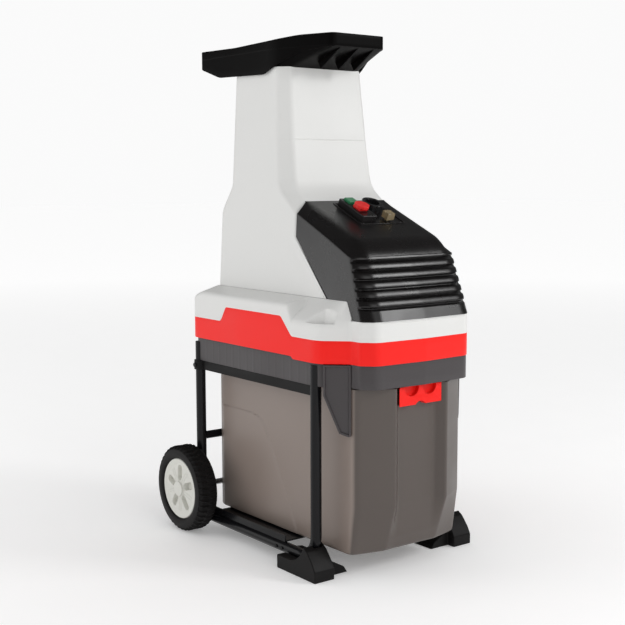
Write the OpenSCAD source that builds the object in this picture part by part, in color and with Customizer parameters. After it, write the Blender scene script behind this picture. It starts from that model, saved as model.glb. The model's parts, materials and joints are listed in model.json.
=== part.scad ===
// Electric garden shredder on a wheeled tube frame: a tall feed chute over a toothed cutting roller,
// a geared motor under a louvred cover, and a collection box that slides out at the front.
// Millimetres, +Z up, -Y is the front. Each module works with Y measured from the toe of the feet;
// in_frame() then moves it so that the origin is the middle of the machine's footprint.

/* [Housing] */
// Width of the housing across its sides
body_w = 346; // [330:1:380]
// Width of the narrower front part of the housing
nose_w = 260; // [250:1:266]
// Depth of the housing behind the toe of the feet
body_depth = 449; // [440:1:480]
// Height of the lower rim of the housing above the ground
rim_z = 348; // [340:1:360]
// Height of the ledge round the foot of the chute
ledge_z = 489; // [480:1:500]
// Wall of the moulded plastic shells
wall = 3; // [2.5:0.1:4]
// Height of the red band
band_h = 43; // [36:1:50]

/* [Feed chute] */
// Height of the funnel's top edge above the ground
total_h = 979; // [940:1:1100]
// Width of the chute's front face at its top
chute_w = 204; // [180:1:220]
// Width of the chute at its foot
chute_foot_w = 252; // [240:1:260]
// Width of the funnel's front lip
funnel_front_w = 122; // [100:1:140]
// Width of the funnel's mouth
funnel_w = 218; // [212:1:240]

/* [Motor cover] */
// Number of louvre slots in the cover
louvres = 6; // [4:1:7]

/* [Collection box] */
// Width of the collection box
box_w = 255; // [220:1:257]
// Depth of the collection box behind the toe of the feet
box_depth = 413; // [380:1:414]
// Wall of the collection box
box_wall = 2.5; // [2:0.1:4]
// Travel of the latch from open to locked
latch_travel = 14; // [8:1:16]

/* [Frame and wheels] */
// Diameter of the frame tube
tube_d = 20; // [16:1:22]
// Distance from the middle plane to the tube's centre line
tube_x = 162; // [160:1:175]
// Bend radius of the tube's centre line
bend_r = 46; // [36:1:60]
// Distance between the two uprights of one side frame
frame_len = 388; // [370:1:400]
// Wheel diameter
wheel_d = 175; // [150:1:190]
// Wheel width
wheel_w = 46; // [36:1:56]
// Axle diameter
axle_d = 12; // [10:0.5:14]
// Length of a foot
foot_len = 116; // [100:1:130]

/* [Cutting gear] */
// Diameter of the cutting roller over its teeth
roller_d = 90; // [80:1:94]
// Length of the cutting roller
roller_len = 140; // [120:1:150]
// Number of teeth round the roller
roller_teeth = 8; // [6:1:10]
// Travel of the pressure plate
plate_travel = 6; // [4:0.5:7]
// Diameter of the motor's can
motor_d = 126; // [110:1:130]
// Length of the motor's can
motor_len = 122; // [100:1:126]

/* [Fits] */
// Radial clearance of turning shafts
run_gap = 0.05; // [0.02:0.01:0.1]
// Clearance between sliding or separately moulded pieces
slide_gap = 0.4; // [0.3:0.05:0.8]

/* [Hidden] */
$fn = 64;
tiny = 0.01;
over = 1;

// Colours
light_grey = [0.87, 0.87, 0.86];
signal_red = [0.93, 0.13, 0.12];
dark_grey = [0.3, 0.29, 0.29];
soft_black = [0.09, 0.08, 0.08];
gloss_black = [0.04, 0.04, 0.045];
smoke = [0.45, 0.42, 0.4];
steel = [0.7, 0.71, 0.73];
cast_alloy = [0.62, 0.63, 0.65];
copper = [0.72, 0.42, 0.22];
brass = [0.8, 0.66, 0.34];
green = [0.16, 0.5, 0.3];

// Housing outline
half_w = body_w / 2;
nose = nose_w / 2;
front_y = -75;
corner_y = -69;
nose_chamfer = 23;
shoulder_y = -22;
side_y = 30;
rear_corner = 20;
band_z = rim_z + 42;
band_top = band_z + band_h;
skin_gap = 0.3;

// Frame and wheels
tube_r = tube_d / 2;
rail_z = 19.5 + tube_r;
tube_front_y = 35.5;
tube_rear_y = tube_front_y + frame_len;
tube_top = band_z - 4;
axle_y = tube_rear_y;
axle_z = wheel_d / 2;
axle_r = axle_d / 2;
wheel_gap = 3;
wheel_in = tube_x + tube_r + wheel_gap;
wheel_out = wheel_in + wheel_w;
strap_z = rim_z - 19;
strap_h = 19;
strap_t = 3;
strap_out = tube_x + tube_r + strap_t;
strap_screw_r = 2.5;
strap_front_y = tube_front_y + tube_r - 2;
cross_r = 8;
cross_z = 190;
cross_seat = 2;
axle_end = wheel_out - 3.5;
clip_t = 1.2;
clip_x = axle_end - 3;
tyre_r = wheel_d / 2;
rim_r = tyre_r - 21;
cap_r = 15;
web_in = 11;
foot_x = tube_x + 8.3;
foot_half = 22.3;
foot_in = 104;
foot_wedge_y = 17.5;
foot_screw_y = [foot_len + 12, foot_len + 30];
runner_front = foot_len + 12;
runner_rear = tube_rear_y - bend_r;
runner_z = rail_z + tube_r;
runner_t = 3;
runner_seat = 12;

// Whole machine in Y, and the shift that centres it
y_front = front_y;
y_back = axle_y + wheel_d / 2;
y_mid = (y_front + y_back) / 2;

// Deck: its ledge rises to a ridge along the foot of the chute and the motor cover
ridge_z = ledge_z + 11;
nose_top = band_top + 34;
shelf_z = ledge_z - 29;
shelf_back = 104;
back_top = ledge_z - 15;

// Chute: its side walls lean inwards in one plane with the sides of the motor cover
chute_top = total_h - 55;
chute_foot = ridge_z;
chute_front = 216;
chute_rear = 374;
chute_back_low = 408;
seam_z = total_h - 191;
chute_inner_front = 219;
side_lean = (chute_foot_w - chute_w) / 2 / (chute_top - chute_foot);
function side_x(z) = chute_foot_w / 2 - (z - chute_foot) * side_lean;
sweep = [
    [chute_front - 16, seam_z],
    [chute_front - 23, seam_z - 50],
    [chute_front - 30, seam_z - 86],
    [chute_front - 44, seam_z - 104],
    [chute_front - 65, seam_z - 116]
];

// Motor cover
cover_toe = [corner_y + 1, nose_top];
cover_break = [-15, chute_foot + 99];
cover_back = [chute_front - 65, seam_z - 116];
cover_rise = [[-28, nose_top], [-6, chute_foot], [47, chute_foot], [150, chute_foot + 107], [148, chute_foot + 149]];
slope = atan2(cover_back[1] - cover_break[1], cover_back[0] - cover_break[0]);
edge_drop = 22;

// Collection box
box_half = box_w / 2;
box_z = runner_z + runner_t + 0.5;
box_top = rim_z - 2;
ridge_x = 61;
ridge_y = -67;
box_corner_y = -31;
recess_x = 44;
recess_y = -50;
slant_z = box_z + 88;
slant_in = 31;

// Latch
latch_front = -62.5;
latch_h = 35;
latch_top = box_top;
finger_r = 16.5;
finger_drop = 2;
finger_x = 21;
plunger_travel = 4;
switch_half = 13;
switch_front = latch_front - 3;

// Gear train: tooth counts and modules of the three stages
pressure_angle = 25;
stage_module = [1.5, 1.75, 2.25];
pinion_teeth = [11, 12, 13];
wheel_teeth = [47, 48, 52];
stage_gap = 0.12;
stage_y = [155, 171, 188];
stage_w = [12, 13, 20];
roller_axis = [0, 440];
function stage_reach(i) = stage_module[i] * (pinion_teeth[i] + wheel_teeth[i]) / 2;
second_axis = roller_axis + stage_reach(2) * [cos(150), sin(150)];
first_turn = acos((-stage_reach(0) - second_axis[0]) / stage_reach(1));
first_axis = second_axis + stage_reach(1) * [cos(first_turn), sin(first_turn)];
motor_axis = first_axis + [stage_reach(0), 0];
shaft_r = 6;
pin_r = 6;
roller_shaft_r = 10;
case_wall = 4;
case_y = 150;
case_len = 64;

// Motor deck and gearbox case
deck_z = rim_z + 8;
deck_t = 4;
deck_front = -20;
deck_top = deck_z + deck_t;
case_lo = [-114, deck_top];
case_hi = [70, first_axis[1] + 45];

// Motor
motor_y = case_y - motor_len;
fan_y = motor_y - 20;
fan_t = 15;
fan_r = 50;
core_r = 34;

// Cutting chamber
bush_r = 15;
chamber_y = 224;
chamber_wall = 6;
chamber_half = 92;
chamber_z = [deck_top, chute_foot - over];
roller_y = chamber_y + chamber_wall + 4;
plate_x = roller_d / 2 + 8;
plate_t = 12;
boss_len = 20;
screw_r = 5;
knob_x = half_w + 4;
knob_r = 22;
knob_t = 16;
adjust_y = roller_y + roller_len / 2;

// Switch panel on the cover's slope
panel_x = 12;
panel_w = 106;
panel_len = 92;
panel_mid = [panel_x, 97];
function slope_y(s) = panel_mid[1] + s * cos(slope);
block_w = 34;
block_len = 78;
block_h = 14;
block_x = panel_x - 31;
inlet_x = panel_x + 21;
inlet_r = 21;
inlet_h = 15;
cap_side = 17;
button_travel = 3;
button_half = 10;
start_y = 24;
stop_y = -6;
inlet_y = slope_y(22);
inlet_pin_x = 5;
inlet_pin_r = 2.4;
cap_x = panel_x + 22;
cap_y = slope_y(-28);
cap_stem_r = 5;
plunger_half = 4;
louvre_h = 4.5;
louvre_pitch = 17;

// ---------- helpers ----------

function unit(v) = v / norm(v);

// Counter-clockwise polygon p moved inwards by d, with mitred corners
function inset_poly(p, d) = [
    for (i = [0:len(p) - 1])
        let (
            a = p[(i + len(p) - 1) % len(p)],
            b = p[i],
            c = p[(i + 1) % len(p)],
            u = unit(b - a),
            v = unit(c - b),
            n = [-u[1], u[0]],
            m = [-v[1], v[0]]
        )
        b + d * (n + m) / (1 + n * m)
];

// Points of a right half, front to back, closed by their mirror image
function both_sides(p) = concat(p, [for (i = [len(p) - 1:-1:0]) if (p[i][0] > 0) [-p[i][0], p[i][1]]]);

function body_outline() = both_sides([
    [0, front_y],
    [nose - nose_chamfer, corner_y],
    [nose - 1, corner_y + nose_chamfer],
    [nose, shoulder_y],
    [half_w - 7, shoulder_y + half_w - nose - 7],
    [half_w, side_y],
    [half_w, body_depth - rear_corner],
    [half_w - rear_corner, body_depth]
]);

function skirt_outline() = both_sides([
    [0, front_y + 1],
    [nose - nose_chamfer - 0.5, corner_y + 1],
    [nose - 2, corner_y + nose_chamfer],
    [nose - 1, shoulder_y + 1],
    [half_w - 9, shoulder_y + half_w - nose - 7],
    [half_w - 6, side_y],
    [half_w - 6, body_depth - rear_corner],
    [half_w - rear_corner - 4, body_depth - 1]
]);

module in_frame() translate([0, -y_mid, 0]) children();

module prism(points, z0, z1) translate([0, 0, z0]) linear_extrude(z1 - z0) polygon(points);

// A ring of wall thickness t just inside an outline
module ring(points, t, z0, z1) difference() {
    prism(points, z0, z1);
    prism(inset_poly(points, t), z0 - over, z1 + over);
}

// A block by its two opposite corners
module block(a, b) translate(a) cube(b - a);

// A profile drawn in Y and Z, pushed out along X to both sides
module side_profile(points, half) rotate([90, 0, 90]) translate([0, 0, -half]) linear_extrude(2 * half) polygon(points);

// A profile drawn in X and Z, pushed back along Y
module front_profile(points, y0, y1) translate([0, y1, 0]) rotate([90, 0, 0]) linear_extrude(y1 - y0) polygon(points);

// Round bars along each axis
module bar_x(r, x0, x1, y, z) translate([x0, y, z]) rotate([0, 90, 0]) cylinder(r = r, h = x1 - x0);
module bar_y(r, y0, y1, x, z) translate([x, y0, z]) rotate([-90, 0, 0]) cylinder(r = r, h = y1 - y0);
module bar_z(r, z0, z1, x, y) translate([x, y, z0]) cylinder(r = r, h = z1 - z0);

// Draws its children on the left, or mirrored on the right
module on_side(side) {
    if (side < 0) children();
    if (side > 0) mirror([1, 0, 0]) children();
}

// Everything beyond the plane through a, b and c, on the side that turns right-handed round them
module beyond(a, b, c, shift = 0) {
    n = unit(cross(b - a, c - a));
    translate(a - shift * n) rotate([0, acos(n[2]), atan2(n[1], n[0])])
        translate([-total_h, -total_h, 0]) cube([2 * total_h, 2 * total_h, total_h]);
}

// ---------- frame and wheels (drawn on the left, mirrored to the right) ----------

module tube_bend(y, quarter) translate([-tube_x, y, rail_z + bend_r]) rotate([quarter, 0, 0]) rotate([0, 90, 0])
    rotate_extrude(angle = 90) translate([bend_r, 0]) circle(tube_r);

module side_tube() {
    bar_z(tube_r, rail_z + bend_r, tube_top, -tube_x, tube_front_y);
    tube_bend(tube_front_y + bend_r, -90);
    bar_y(tube_r, tube_front_y + bend_r, tube_rear_y - bend_r, -tube_x, rail_z);
    tube_bend(tube_rear_y - bend_r, 0);
    bar_z(tube_r, rail_z + bend_r, tube_top, -tube_x, tube_rear_y);
}

module side_frame() color(gloss_black) difference() {
    side_tube();
    bar_x(axle_r, -tube_x - tube_r - over, -tube_x + tube_r + over, axle_y, axle_z);
    bar_x(cross_r, -tube_x, -tube_x + tube_r + over, tube_rear_y, cross_z);
    bar_x(strap_screw_r, -tube_x - tube_r - over, -tube_x, tube_rear_y, strap_z + strap_h / 2);
    block([-tube_x - strap_t / 2, strap_front_y, strap_z], [-tube_x + strap_t / 2, tube_front_y + tube_r + over, strap_z + strap_h]);
    for (y = foot_screw_y) bar_x(2, -tube_x - tube_r - over, -tube_x - 1, y, rail_z);
}
module frame_left() side_frame();
module frame_right() mirror([1, 0, 0]) side_frame();

// Flat bar that seats in the front upright and ends in a collar round the rear one
module strap() color(soft_black) difference() {
    union() {
        block([-tube_x - strap_t / 2, strap_front_y, strap_z], [-tube_x + strap_t / 2, tube_rear_y, strap_z + strap_h]);
        bar_z(tube_r + strap_t, strap_z, strap_z + strap_h, -tube_x, tube_rear_y);
    }
    bar_z(tube_r + run_gap, strap_z - over, strap_z + strap_h + over, -tube_x, tube_rear_y);
    bar_x(strap_screw_r, -strap_out - over, -tube_x, tube_rear_y, strap_z + strap_h / 2);
}
module strap_left() strap();
module strap_right() mirror([1, 0, 0]) strap();

module cross_tube() color(gloss_black) bar_x(cross_r, -tube_x + cross_seat, tube_x - cross_seat, tube_rear_y, cross_z);

module axle() color(steel) bar_x(axle_r - run_gap, -axle_end, axle_end, axle_y, axle_z);

module axle_clips() color(steel) for (side = [-1, 1]) difference() {
    translate([side * clip_x, 0, 0]) bar_x(axle_r + 4, -clip_t / 2, clip_t / 2, axle_y, axle_z);
    translate([side * clip_x, 0, 0]) bar_x(axle_r - run_gap, -clip_t, clip_t, axle_y, axle_z);
}

// Moulded foot with a saddle for the rail and its front bend, and a wedge reaching inwards
module foot() color(dark_grey) difference() {
    union() {
        translate([-foot_x, 0, 0]) side_profile([
            [0, 0],
            [foot_len, 0],
            [foot_len, 33],
            [0.62 * foot_len, 46],
            [0.34 * foot_len, 62],
            [0.2 * foot_len, 52],
            [0.07 * foot_len, 34],
            [0, 20]
        ], foot_half);
        front_profile([
            [-foot_x + foot_half - tiny, 0],
            [-foot_in, 0],
            [-foot_in - 8, 12],
            [-foot_x + foot_half - tiny, 30]
        ], foot_wedge_y, foot_len);
    }
    foot_saddle();
    // low outer wall that follows the bend
    bar_x(bend_r + 4, -foot_x - foot_half - over, -tube_x, tube_front_y + bend_r, rail_z + bend_r);
    block([-foot_x - foot_half - over, tube_front_y + bend_r, rail_z - 4], [-tube_x, foot_len + over, 3 * rail_z]);
}

// The space of the rail and its front bend, open from above, and the landing of the runner
module foot_saddle() {
    r = tube_r + slide_gap;
    bar_x(bend_r + r, -tube_x - r, -tube_x + r, tube_front_y + bend_r, rail_z + bend_r);
    block([-tube_x - r, tube_front_y + bend_r, rail_z - tube_r - slide_gap / 4], [-tube_x + r, foot_len + over, 3 * rail_z]);
    block([-foot_x + foot_half - 12, tube_front_y + 30, runner_z - slide_gap], [-foot_in + over, foot_len + over, 3 * rail_z]);
}
module foot_left() foot();
module foot_right() mirror([1, 0, 0]) foot();

// Angle strip on the rail that carries and guides the box
module runner() color(gloss_black) {
    block([-tube_x - 3, runner_front, runner_z], [-box_half + runner_seat, runner_rear, runner_z + runner_t]);
    block([-tube_x - 3, runner_front, runner_z + runner_t], [-tube_x, runner_rear, runner_z + runner_t + 10]);
}
module runner_left() runner();
module runner_right() mirror([1, 0, 0]) runner();

// Strap screws, and screws that hold each foot to its rail
module frame_screws() color(steel) for (side = [-1, 1]) on_side(side) {
    bar_x(strap_screw_r, -strap_out, -tube_x - 1, tube_rear_y, strap_z + strap_h / 2);
    bar_x(4.5, -strap_out - 2.2, -strap_out, tube_rear_y, strap_z + strap_h / 2);
    for (y = foot_screw_y) {
        bar_x(3.5, -tube_x - tube_r - 2, -tube_x - tube_r, y, rail_z);
        bar_x(2, -tube_x - tube_r - 1, -tube_x - 2, y, rail_z);
    }
}

module wheel_profile(points) translate([-wheel_in, axle_y, axle_z]) rotate([0, -90, 0]) rotate_extrude() polygon(points);

module tyre() color([0.17, 0.16, 0.16]) wheel_profile([
    [rim_r, 2],
    [tyre_r - 8, 0],
    [tyre_r - 2, 3],
    [tyre_r, 8],
    [tyre_r, wheel_w - 8],
    [tyre_r - 2, wheel_w - 3],
    [tyre_r - 8, wheel_w],
    [rim_r, wheel_w - 2]
]);
module tyre_left() tyre();
module tyre_right() mirror([1, 0, 0]) tyre();

// Moulded wheel body: rim, dished web with five windows, and a long boss on the axle
module hub() color(light_grey) difference() {
    wheel_profile([
        [axle_r + 9, 0],
        [axle_r + 9, wheel_w - web_in - 6],
        [rim_r - 8, wheel_w - web_in - 6],
        [rim_r - 8, 4],
        [rim_r, 4],
        [rim_r, wheel_w - 3],
        [rim_r - 6, wheel_w - 3],
        [rim_r - 10, wheel_w - web_in],
        [cap_r + 5, wheel_w - web_in + 3],
        [cap_r + 3, wheel_w - 2],
        [cap_r, wheel_w - 2],
        [cap_r, wheel_w - 7.5],
        [0, wheel_w - 7.5],
        [0, 0]
    ]);
    bar_x(axle_r, -wheel_out - over, -wheel_in + over, axle_y, axle_z);
    for (i = [0:4]) translate([0, axle_y, axle_z]) rotate([72 * i, 0, 0])
        bar_x(9, -wheel_out - over, -wheel_in - 6, 0, (cap_r + rim_r) / 2);
}
module hub_left() hub();
module hub_right() mirror([1, 0, 0]) hub();

module hub_cap() color(light_grey) wheel_profile([
    [0, wheel_w - 3],
    [cap_r - 2.5, wheel_w - 3],
    [cap_r - 2.5, wheel_w - 7],
    [cap_r, wheel_w - 7],
    [cap_r, wheel_w - 0.5],
    [cap_r - 4, wheel_w],
    [0, wheel_w]
]);
module hub_cap_left() hub_cap();
module hub_cap_right() mirror([1, 0, 0]) hub_cap();

// ---------- housing ----------

// Dark lower housing: skirt round the mouth of the box, a shelf over the frame, a motor deck and two fins
module base_housing() color(dark_grey) difference() {
    union() {
        ring(skirt_outline(), wall, rim_z, band_z - skin_gap);
        ring(inset_poly(body_outline(), wall + skin_gap), wall, band_z - wall, band_top - skin_gap);
        difference() {
            prism(inset_poly(skirt_outline(), tiny), rim_z, rim_z + wall);
            prism(both_sides([
                [0, latch_front - 3],
                [recess_x + 9, latch_front - 3],
                [box_half - 12, box_corner_y + 14],
                [box_half - 12, box_depth - 12]
            ]), rim_z - over, rim_z + wall + over);
        }
        difference() {
            block([-half_w + 7, deck_front, deck_z], [half_w - 7, body_depth - 4, deck_z + deck_t]);
            block([-chamber_half + 24, chamber_y + 6, deck_z - over],
                [chamber_half - 24, chamber_y + roller_len + 14, deck_z + deck_t + over]);
            translate([0, 0, deck_z]) linear_extrude(3 * deck_t, center = true) difference() {
                square([4 * half_w, 4 * body_depth], center = true);
                polygon(inset_poly(skirt_outline(), wall - tiny));
            }
        }
        ring(inset_poly(skirt_outline(), tiny), 2 * wall + skin_gap, band_z - wall, band_z - skin_gap);
        for (side = [-1, 1]) on_side(side) fin();
        block([-switch_half, front_y + 2, deck_z + 8], [switch_half, switch_front, deck_z + 32]);
    }
    for (side = [-1, 1]) on_side(side) for (y = [tube_front_y, tube_rear_y])
        bar_z(tube_r + slide_gap, rim_z - over, tube_top + slide_gap, -tube_x, y);
}

// Corner gusset hanging below the rim along the diagonal beside the box's front corner
module fin() intersection() {
    prism([
        [-half_w + 9, shoulder_y + half_w - nose - 7],
        [-nose - 2, shoulder_y],
        [-nose - 0.5, shoulder_y + 1.5],
        [-half_w + 12, shoulder_y + half_w - nose - 5]
    ], rim_z - 90, rim_z + 1);
    side_profile([
        [corner_y, rim_z + 1],
        [corner_y, rim_z - 83],
        [shoulder_y, rim_z - 83],
        [shoulder_y + 16, rim_z - 76],
        [shoulder_y + half_w - nose - 6, rim_z - 18],
        [shoulder_y + half_w - nose, rim_z + 1]
    ], half_w + over);
}

// Outline of the raised side panels of the red band, drawn in Y and Z
function panel_outline(grow) = [
    [94 - grow, band_top - over],
    [127 - grow, band_top + 35 + grow],
    [312 + grow, band_top + 35 + grow],
    [327 + grow, band_top + 6],
    [332 + grow, band_top + 6],
    [332 + grow, band_top - over]
];

module red_band() color(signal_red) difference() {
    union() {
        ring(body_outline(), wall, band_z, band_top);
        for (side = [-1, 1]) on_side(side) intersection() {
            side_profile(panel_outline(0), half_w);
            block([-half_w, 0, 0], [-half_w + wall, body_depth, total_h]);
        }
    }
    bar_x(screw_r + 2, half_w - 2 * wall, half_w + over, adjust_y, roller_axis[1]);
}

// Light grey deck of the housing, open in the middle for the chute and the motor
module upper_housing() color(light_grey) difference() {
    union() {
        difference() {
            ring(body_outline(), wall, band_top + skin_gap, ledge_z);
            block([-half_w - over, front_y - over, shelf_z], [half_w + over, shelf_back, ledge_z + over]);
            side_profile([
                [chute_back_low - 8, ledge_z],
                [body_depth, back_top],
                [body_depth + over, back_top],
                [body_depth + over, ledge_z + over],
                [chute_back_low - 8, ledge_z + over]
            ], half_w + over);
        }
        difference() {
            ring(inset_poly(body_outline(), tiny), wall, band_top + skin_gap, nose_top);
            block([-half_w - over, shoulder_y, band_top], [half_w + over, body_depth, ledge_z + over]);
        }
        deck_plates();
    }
    deck_mouth();
    for (side = [-1, 1]) on_side(side) {
        intersection() {
            side_profile(panel_outline(skin_gap), half_w + over);
            block([-half_w - over, 0, 0], [-half_w + wall + skin_gap, body_depth, total_h]);
        }
        block([-half_w + 20, shoulder_y + 16, shelf_z - 8], [-chute_foot_w / 2 - 12, 32, ledge_z + over]);
    }
}

// Opening over the motor and the chute
module deck_mouth() prism(both_sides([
    [0, corner_y + 9],
    [nose - nose_chamfer - 8, corner_y + 9],
    [chute_foot_w / 2 - 5, corner_y + nose_chamfer + 4],
    [chute_foot_w / 2 - 5, chute_back_low - 5]
]), band_top + 2, ridge_z + over);

// Sloping plates between the wall of the housing and the ridge, level at the back and low at the front corners
module deck_plates() intersection() {
    prism(inset_poly(body_outline(), 2 * tiny), band_top, ridge_z);
    union() {
        side_profile([
            [chute_back_low - 5, ridge_z],
            [chute_back_low - 5, ledge_z - wall],
            [body_depth, back_top - wall],
            [body_depth, back_top],
            [chute_back_low, ridge_z]
        ], half_w);
        block([-nose, front_y, nose_top - wall], [nose, cover_rise[0][0] + 4, nose_top]);
        for (side = [-1, 1]) on_side(side) {
            front_profile([
                [-half_w, ledge_z],
                [-half_w, ledge_z - wall],
                [-chute_foot_w / 2 + 5, ledge_z - wall],
                [-chute_foot_w / 2 + 5, ridge_z],
                [-chute_foot_w / 2, ridge_z]
            ], shelf_back - wall, chute_back_low);
            intersection() {
                front_profile([
                    [-half_w, shelf_z],
                    [-half_w, shelf_z - 12],
                    [-chute_foot_w / 2 + 5, shelf_z - 12],
                    [-chute_foot_w / 2 + 5, ridge_z],
                    [-chute_foot_w / 2, ridge_z],
                    [-nose - 16, shelf_z]
                ], shoulder_y - 20, shelf_back);
                side_profile([
                    cover_rise[0] - [14, 21],
                    cover_rise[0] + [200, -21],
                    [shelf_back, ridge_z],
                    cover_rise[1]
                ], half_w);
            }
            block([-half_w, shelf_back - wall, shelf_z - wall], [-chute_foot_w / 2 + 5, shelf_back, ledge_z]);
        }
    }
}

// Outer and inner form of the chute: a side profile and a front profile, with its front corners cut off
function chute_profile() = concat([
    [chute_back_low, chute_foot],
    [chute_back_low, chute_foot + 150],
    [chute_rear + 8, chute_foot + 191],
    [chute_rear, chute_foot + 206],
    [chute_rear, chute_top],
    [chute_front, chute_top]
], sweep, [for (i = [4:-1:2]) cover_rise[i]]);
function chute_bore(i) = concat([
    [chute_back_low - i, chute_foot - over],
    [chute_back_low - i, chute_foot + 150],
    [chute_rear + 8 - i, chute_foot + 191],
    [chute_rear - i, chute_foot + 206],
    [chute_rear - i, chute_top + over],
    [chute_front + i, chute_top + over]
], [for (p = sweep) p + [i, 0]], [[0, cover_back[1] - tiny], [0, chute_foot - over]]);
function leaning_sides(i, z0, z1) = [
    [-side_x(z0) + i, z0],
    [side_x(z0) - i, z0],
    [side_x(z1) - i, z1],
    [-side_x(z1) + i, z1]
];
chute_edge = [
    [-chute_w / 2 + 20, chute_front, chute_top],
    [-chute_w / 2 + 14, sweep[0][0], seam_z],
    [-chute_w / 2 + 10, sweep[2][0] + 1, sweep[2][1]]
];
chute_cheek = [[-chute_w / 2, chute_front + 19, chute_top], [-chute_w / 2 - 8, sweep[0][0] + 24, seam_z]];

// What the broad corner cuts take away; they end above the motor cover
module chute_corners(i) for (side = [-1, 1]) on_side(side) {
    intersection() {
        beyond(chute_edge[0], chute_cheek[0], chute_edge[1], i);
        block([-chute_foot_w, 0, seam_z], [0, body_depth, total_h]);
    }
    intersection() {
        beyond(chute_edge[1], chute_cheek[1], chute_edge[2], i);
        block([-chute_foot_w, 0, sweep[2][1] - i], [0, body_depth, seam_z]);
    }
}

// Tall shell that leads branches down to the roller, with an inner front wall that shuts off the motor
module feed_chute() color(light_grey) {
    difference() {
        intersection() {
            side_profile(chute_profile(), chute_foot_w);
            front_profile(leaning_sides(0, chute_foot, chute_top), 0, body_depth);
        }
        chute_corners(0);
        difference() {
            intersection() {
                side_profile(chute_bore(wall), chute_foot_w);
                front_profile(leaning_sides(wall, chute_foot - over, chute_top + over), -over, body_depth);
            }
            chute_corners(wall);
            chute_wall();
        }
        block([-74, chute_front - 30, seam_z - 1], [74, sweep[0][0] + 1.2, seam_z + 1]);
    }
}

// Inner front wall and the floor round the cutting chamber
module chute_wall() {
    block([-chute_foot_w, chute_inner_front - wall, chute_foot - over], [chute_foot_w, chute_inner_front, seam_z - 40]);
    difference() {
        block([-chute_foot_w, chute_inner_front - wall, chute_foot - over], [chute_foot_w, body_depth, chute_foot + wall]);
        block([-chamber_half + chamber_wall, chamber_y + chamber_wall, 0],
            [chamber_half - chamber_wall, chamber_y + roller_len + 14, total_h]);
    }
}

// Rim of the funnel seen from above, and the chute's mouth that its spigot drops into
function rim_plan() = both_sides([
    [funnel_front_w / 2, chute_front - 103],
    [chute_w / 2 - 14, chute_front - 32],
    [chute_w / 2 + 7, chute_front + 24],
    [funnel_w / 2, chute_rear + 20],
    [funnel_w / 2 - 4, chute_rear + 122],
    [funnel_w / 2 - 14, chute_rear + 132]
]);
function spigot_plan() = inset_poly(both_sides([
    [-chute_edge[0][0], chute_front],
    [-chute_cheek[0][0], chute_cheek[0][1]],
    [chute_w / 2, chute_rear]
]), wall + slide_gap);
module plate_at(points, z) translate([0, 0, z]) linear_extrude(tiny) polygon(points);
module tray(i) hull() {
    plate_at(inset_poly(rim_plan(), i + wall / 2), total_h - 20);
    plate_at(inset_poly(spigot_plan(), i), chute_top + slide_gap);
}

// Black funnel: a rim with skirts that hang lowest beside the chute, and a sloping tray inside them
module funnel() color(soft_black) difference() {
    union() {
        intersection() {
            ring(rim_plan(), wall, chute_top - 30, total_h);
            side_profile([
                [0, total_h],
                [0, total_h - 24],
                [chute_front - 103, total_h - 24],
                [chute_front - 32, total_h - 32],
                [chute_front + 50, chute_top - 13],
                [chute_rear + 52, chute_top - 8],
                [chute_rear + 133, total_h - 39],
                [chute_rear + 133, total_h - 5],
                [chute_rear - 5, total_h - 9],
                [chute_front + 34, total_h - 7],
                [chute_front - 32, total_h]
            ], funnel_w);
        }
        tray(0);
        prism(spigot_plan(), chute_top - 12, chute_top + slide_gap + tiny);
        for (x = [-36, 36]) front_rib(x);
    }
    translate([0, 0, wall]) tray(wall);
    prism(inset_poly(spigot_plan(), wall), chute_top - 20, chute_top + slide_gap + wall + tiny);
}
module front_rib(x) translate([x, 0, 0]) side_profile([
    [chute_front - 66, chute_top + 20],
    [chute_front - 40, chute_top - 2],
    [chute_front - 24, chute_top + 6]
], 1.5);

// ---------- motor cover and switch ----------

module cover_planes(i) for (side = [-1, 1]) on_side(side) {
    beyond(
        [-94, cover_back[0], cover_back[1]],
        [-side_x(cover_break[1] - edge_drop), cover_break[0], cover_break[1] - edge_drop],
        [-97, cover_break[0], cover_break[1]], i);
    beyond(
        [-nose + nose_chamfer, cover_toe[0], cover_toe[1]],
        [-97, cover_break[0], cover_break[1]],
        [-side_x(nose_top), corner_y + nose_chamfer - 1, nose_top], i);
}
module cover_body() difference() {
    intersection() {
        side_profile(concat([cover_toe], [for (i = [0:4]) cover_rise[i]], [cover_back, cover_break]), half_w);
        front_profile(leaning_sides(0.01, nose_top - over, chute_top), front_y, body_depth);
    }
    cover_planes(0);
}
module cover_room() difference() {
    intersection() {
        side_profile([
            cover_toe + [wall * 1.1 - 0.4, -over],
            [body_depth, nose_top - over],
            [body_depth, cover_back[1] - 1.1 * wall + (body_depth - cover_back[0]) * tan(slope)],
            cover_break + [1.6, -1.3] * wall / 2
        ], half_w);
        front_profile(leaning_sides(wall, nose_top - 2 * over, chute_top), front_y, body_depth);
    }
    cover_planes(wall);
}
function louvre_y(z) = cover_toe[0] + (z - cover_toe[1]) * (cover_break[0] - cover_toe[0]) / (cover_break[1] - cover_toe[1]);
module louvre_slot(z) translate([0, louvre_y(z) + 1, z])
    block([-cover_back[0] / 2 - 20, -8, 0], [cover_back[0] / 2 + 20, 8, louvre_h]);
module on_slope(x, y, lift) translate([x, y, cover_break[1] + (y - cover_break[0]) * tan(slope) + lift])
    rotate([slope, 0, 0]) children();

module motor_cover() color(soft_black) difference() {
    cover_body();
    cover_room();
    for (i = [0:louvres - 1]) louvre_slot(cover_toe[1] + 32 + i * louvre_pitch);
    on_slope(panel_mid[0], panel_mid[1], 0) block([-panel_w / 2, -panel_len / 2, -8], [panel_w / 2, panel_len / 2, 8]);
}

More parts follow.
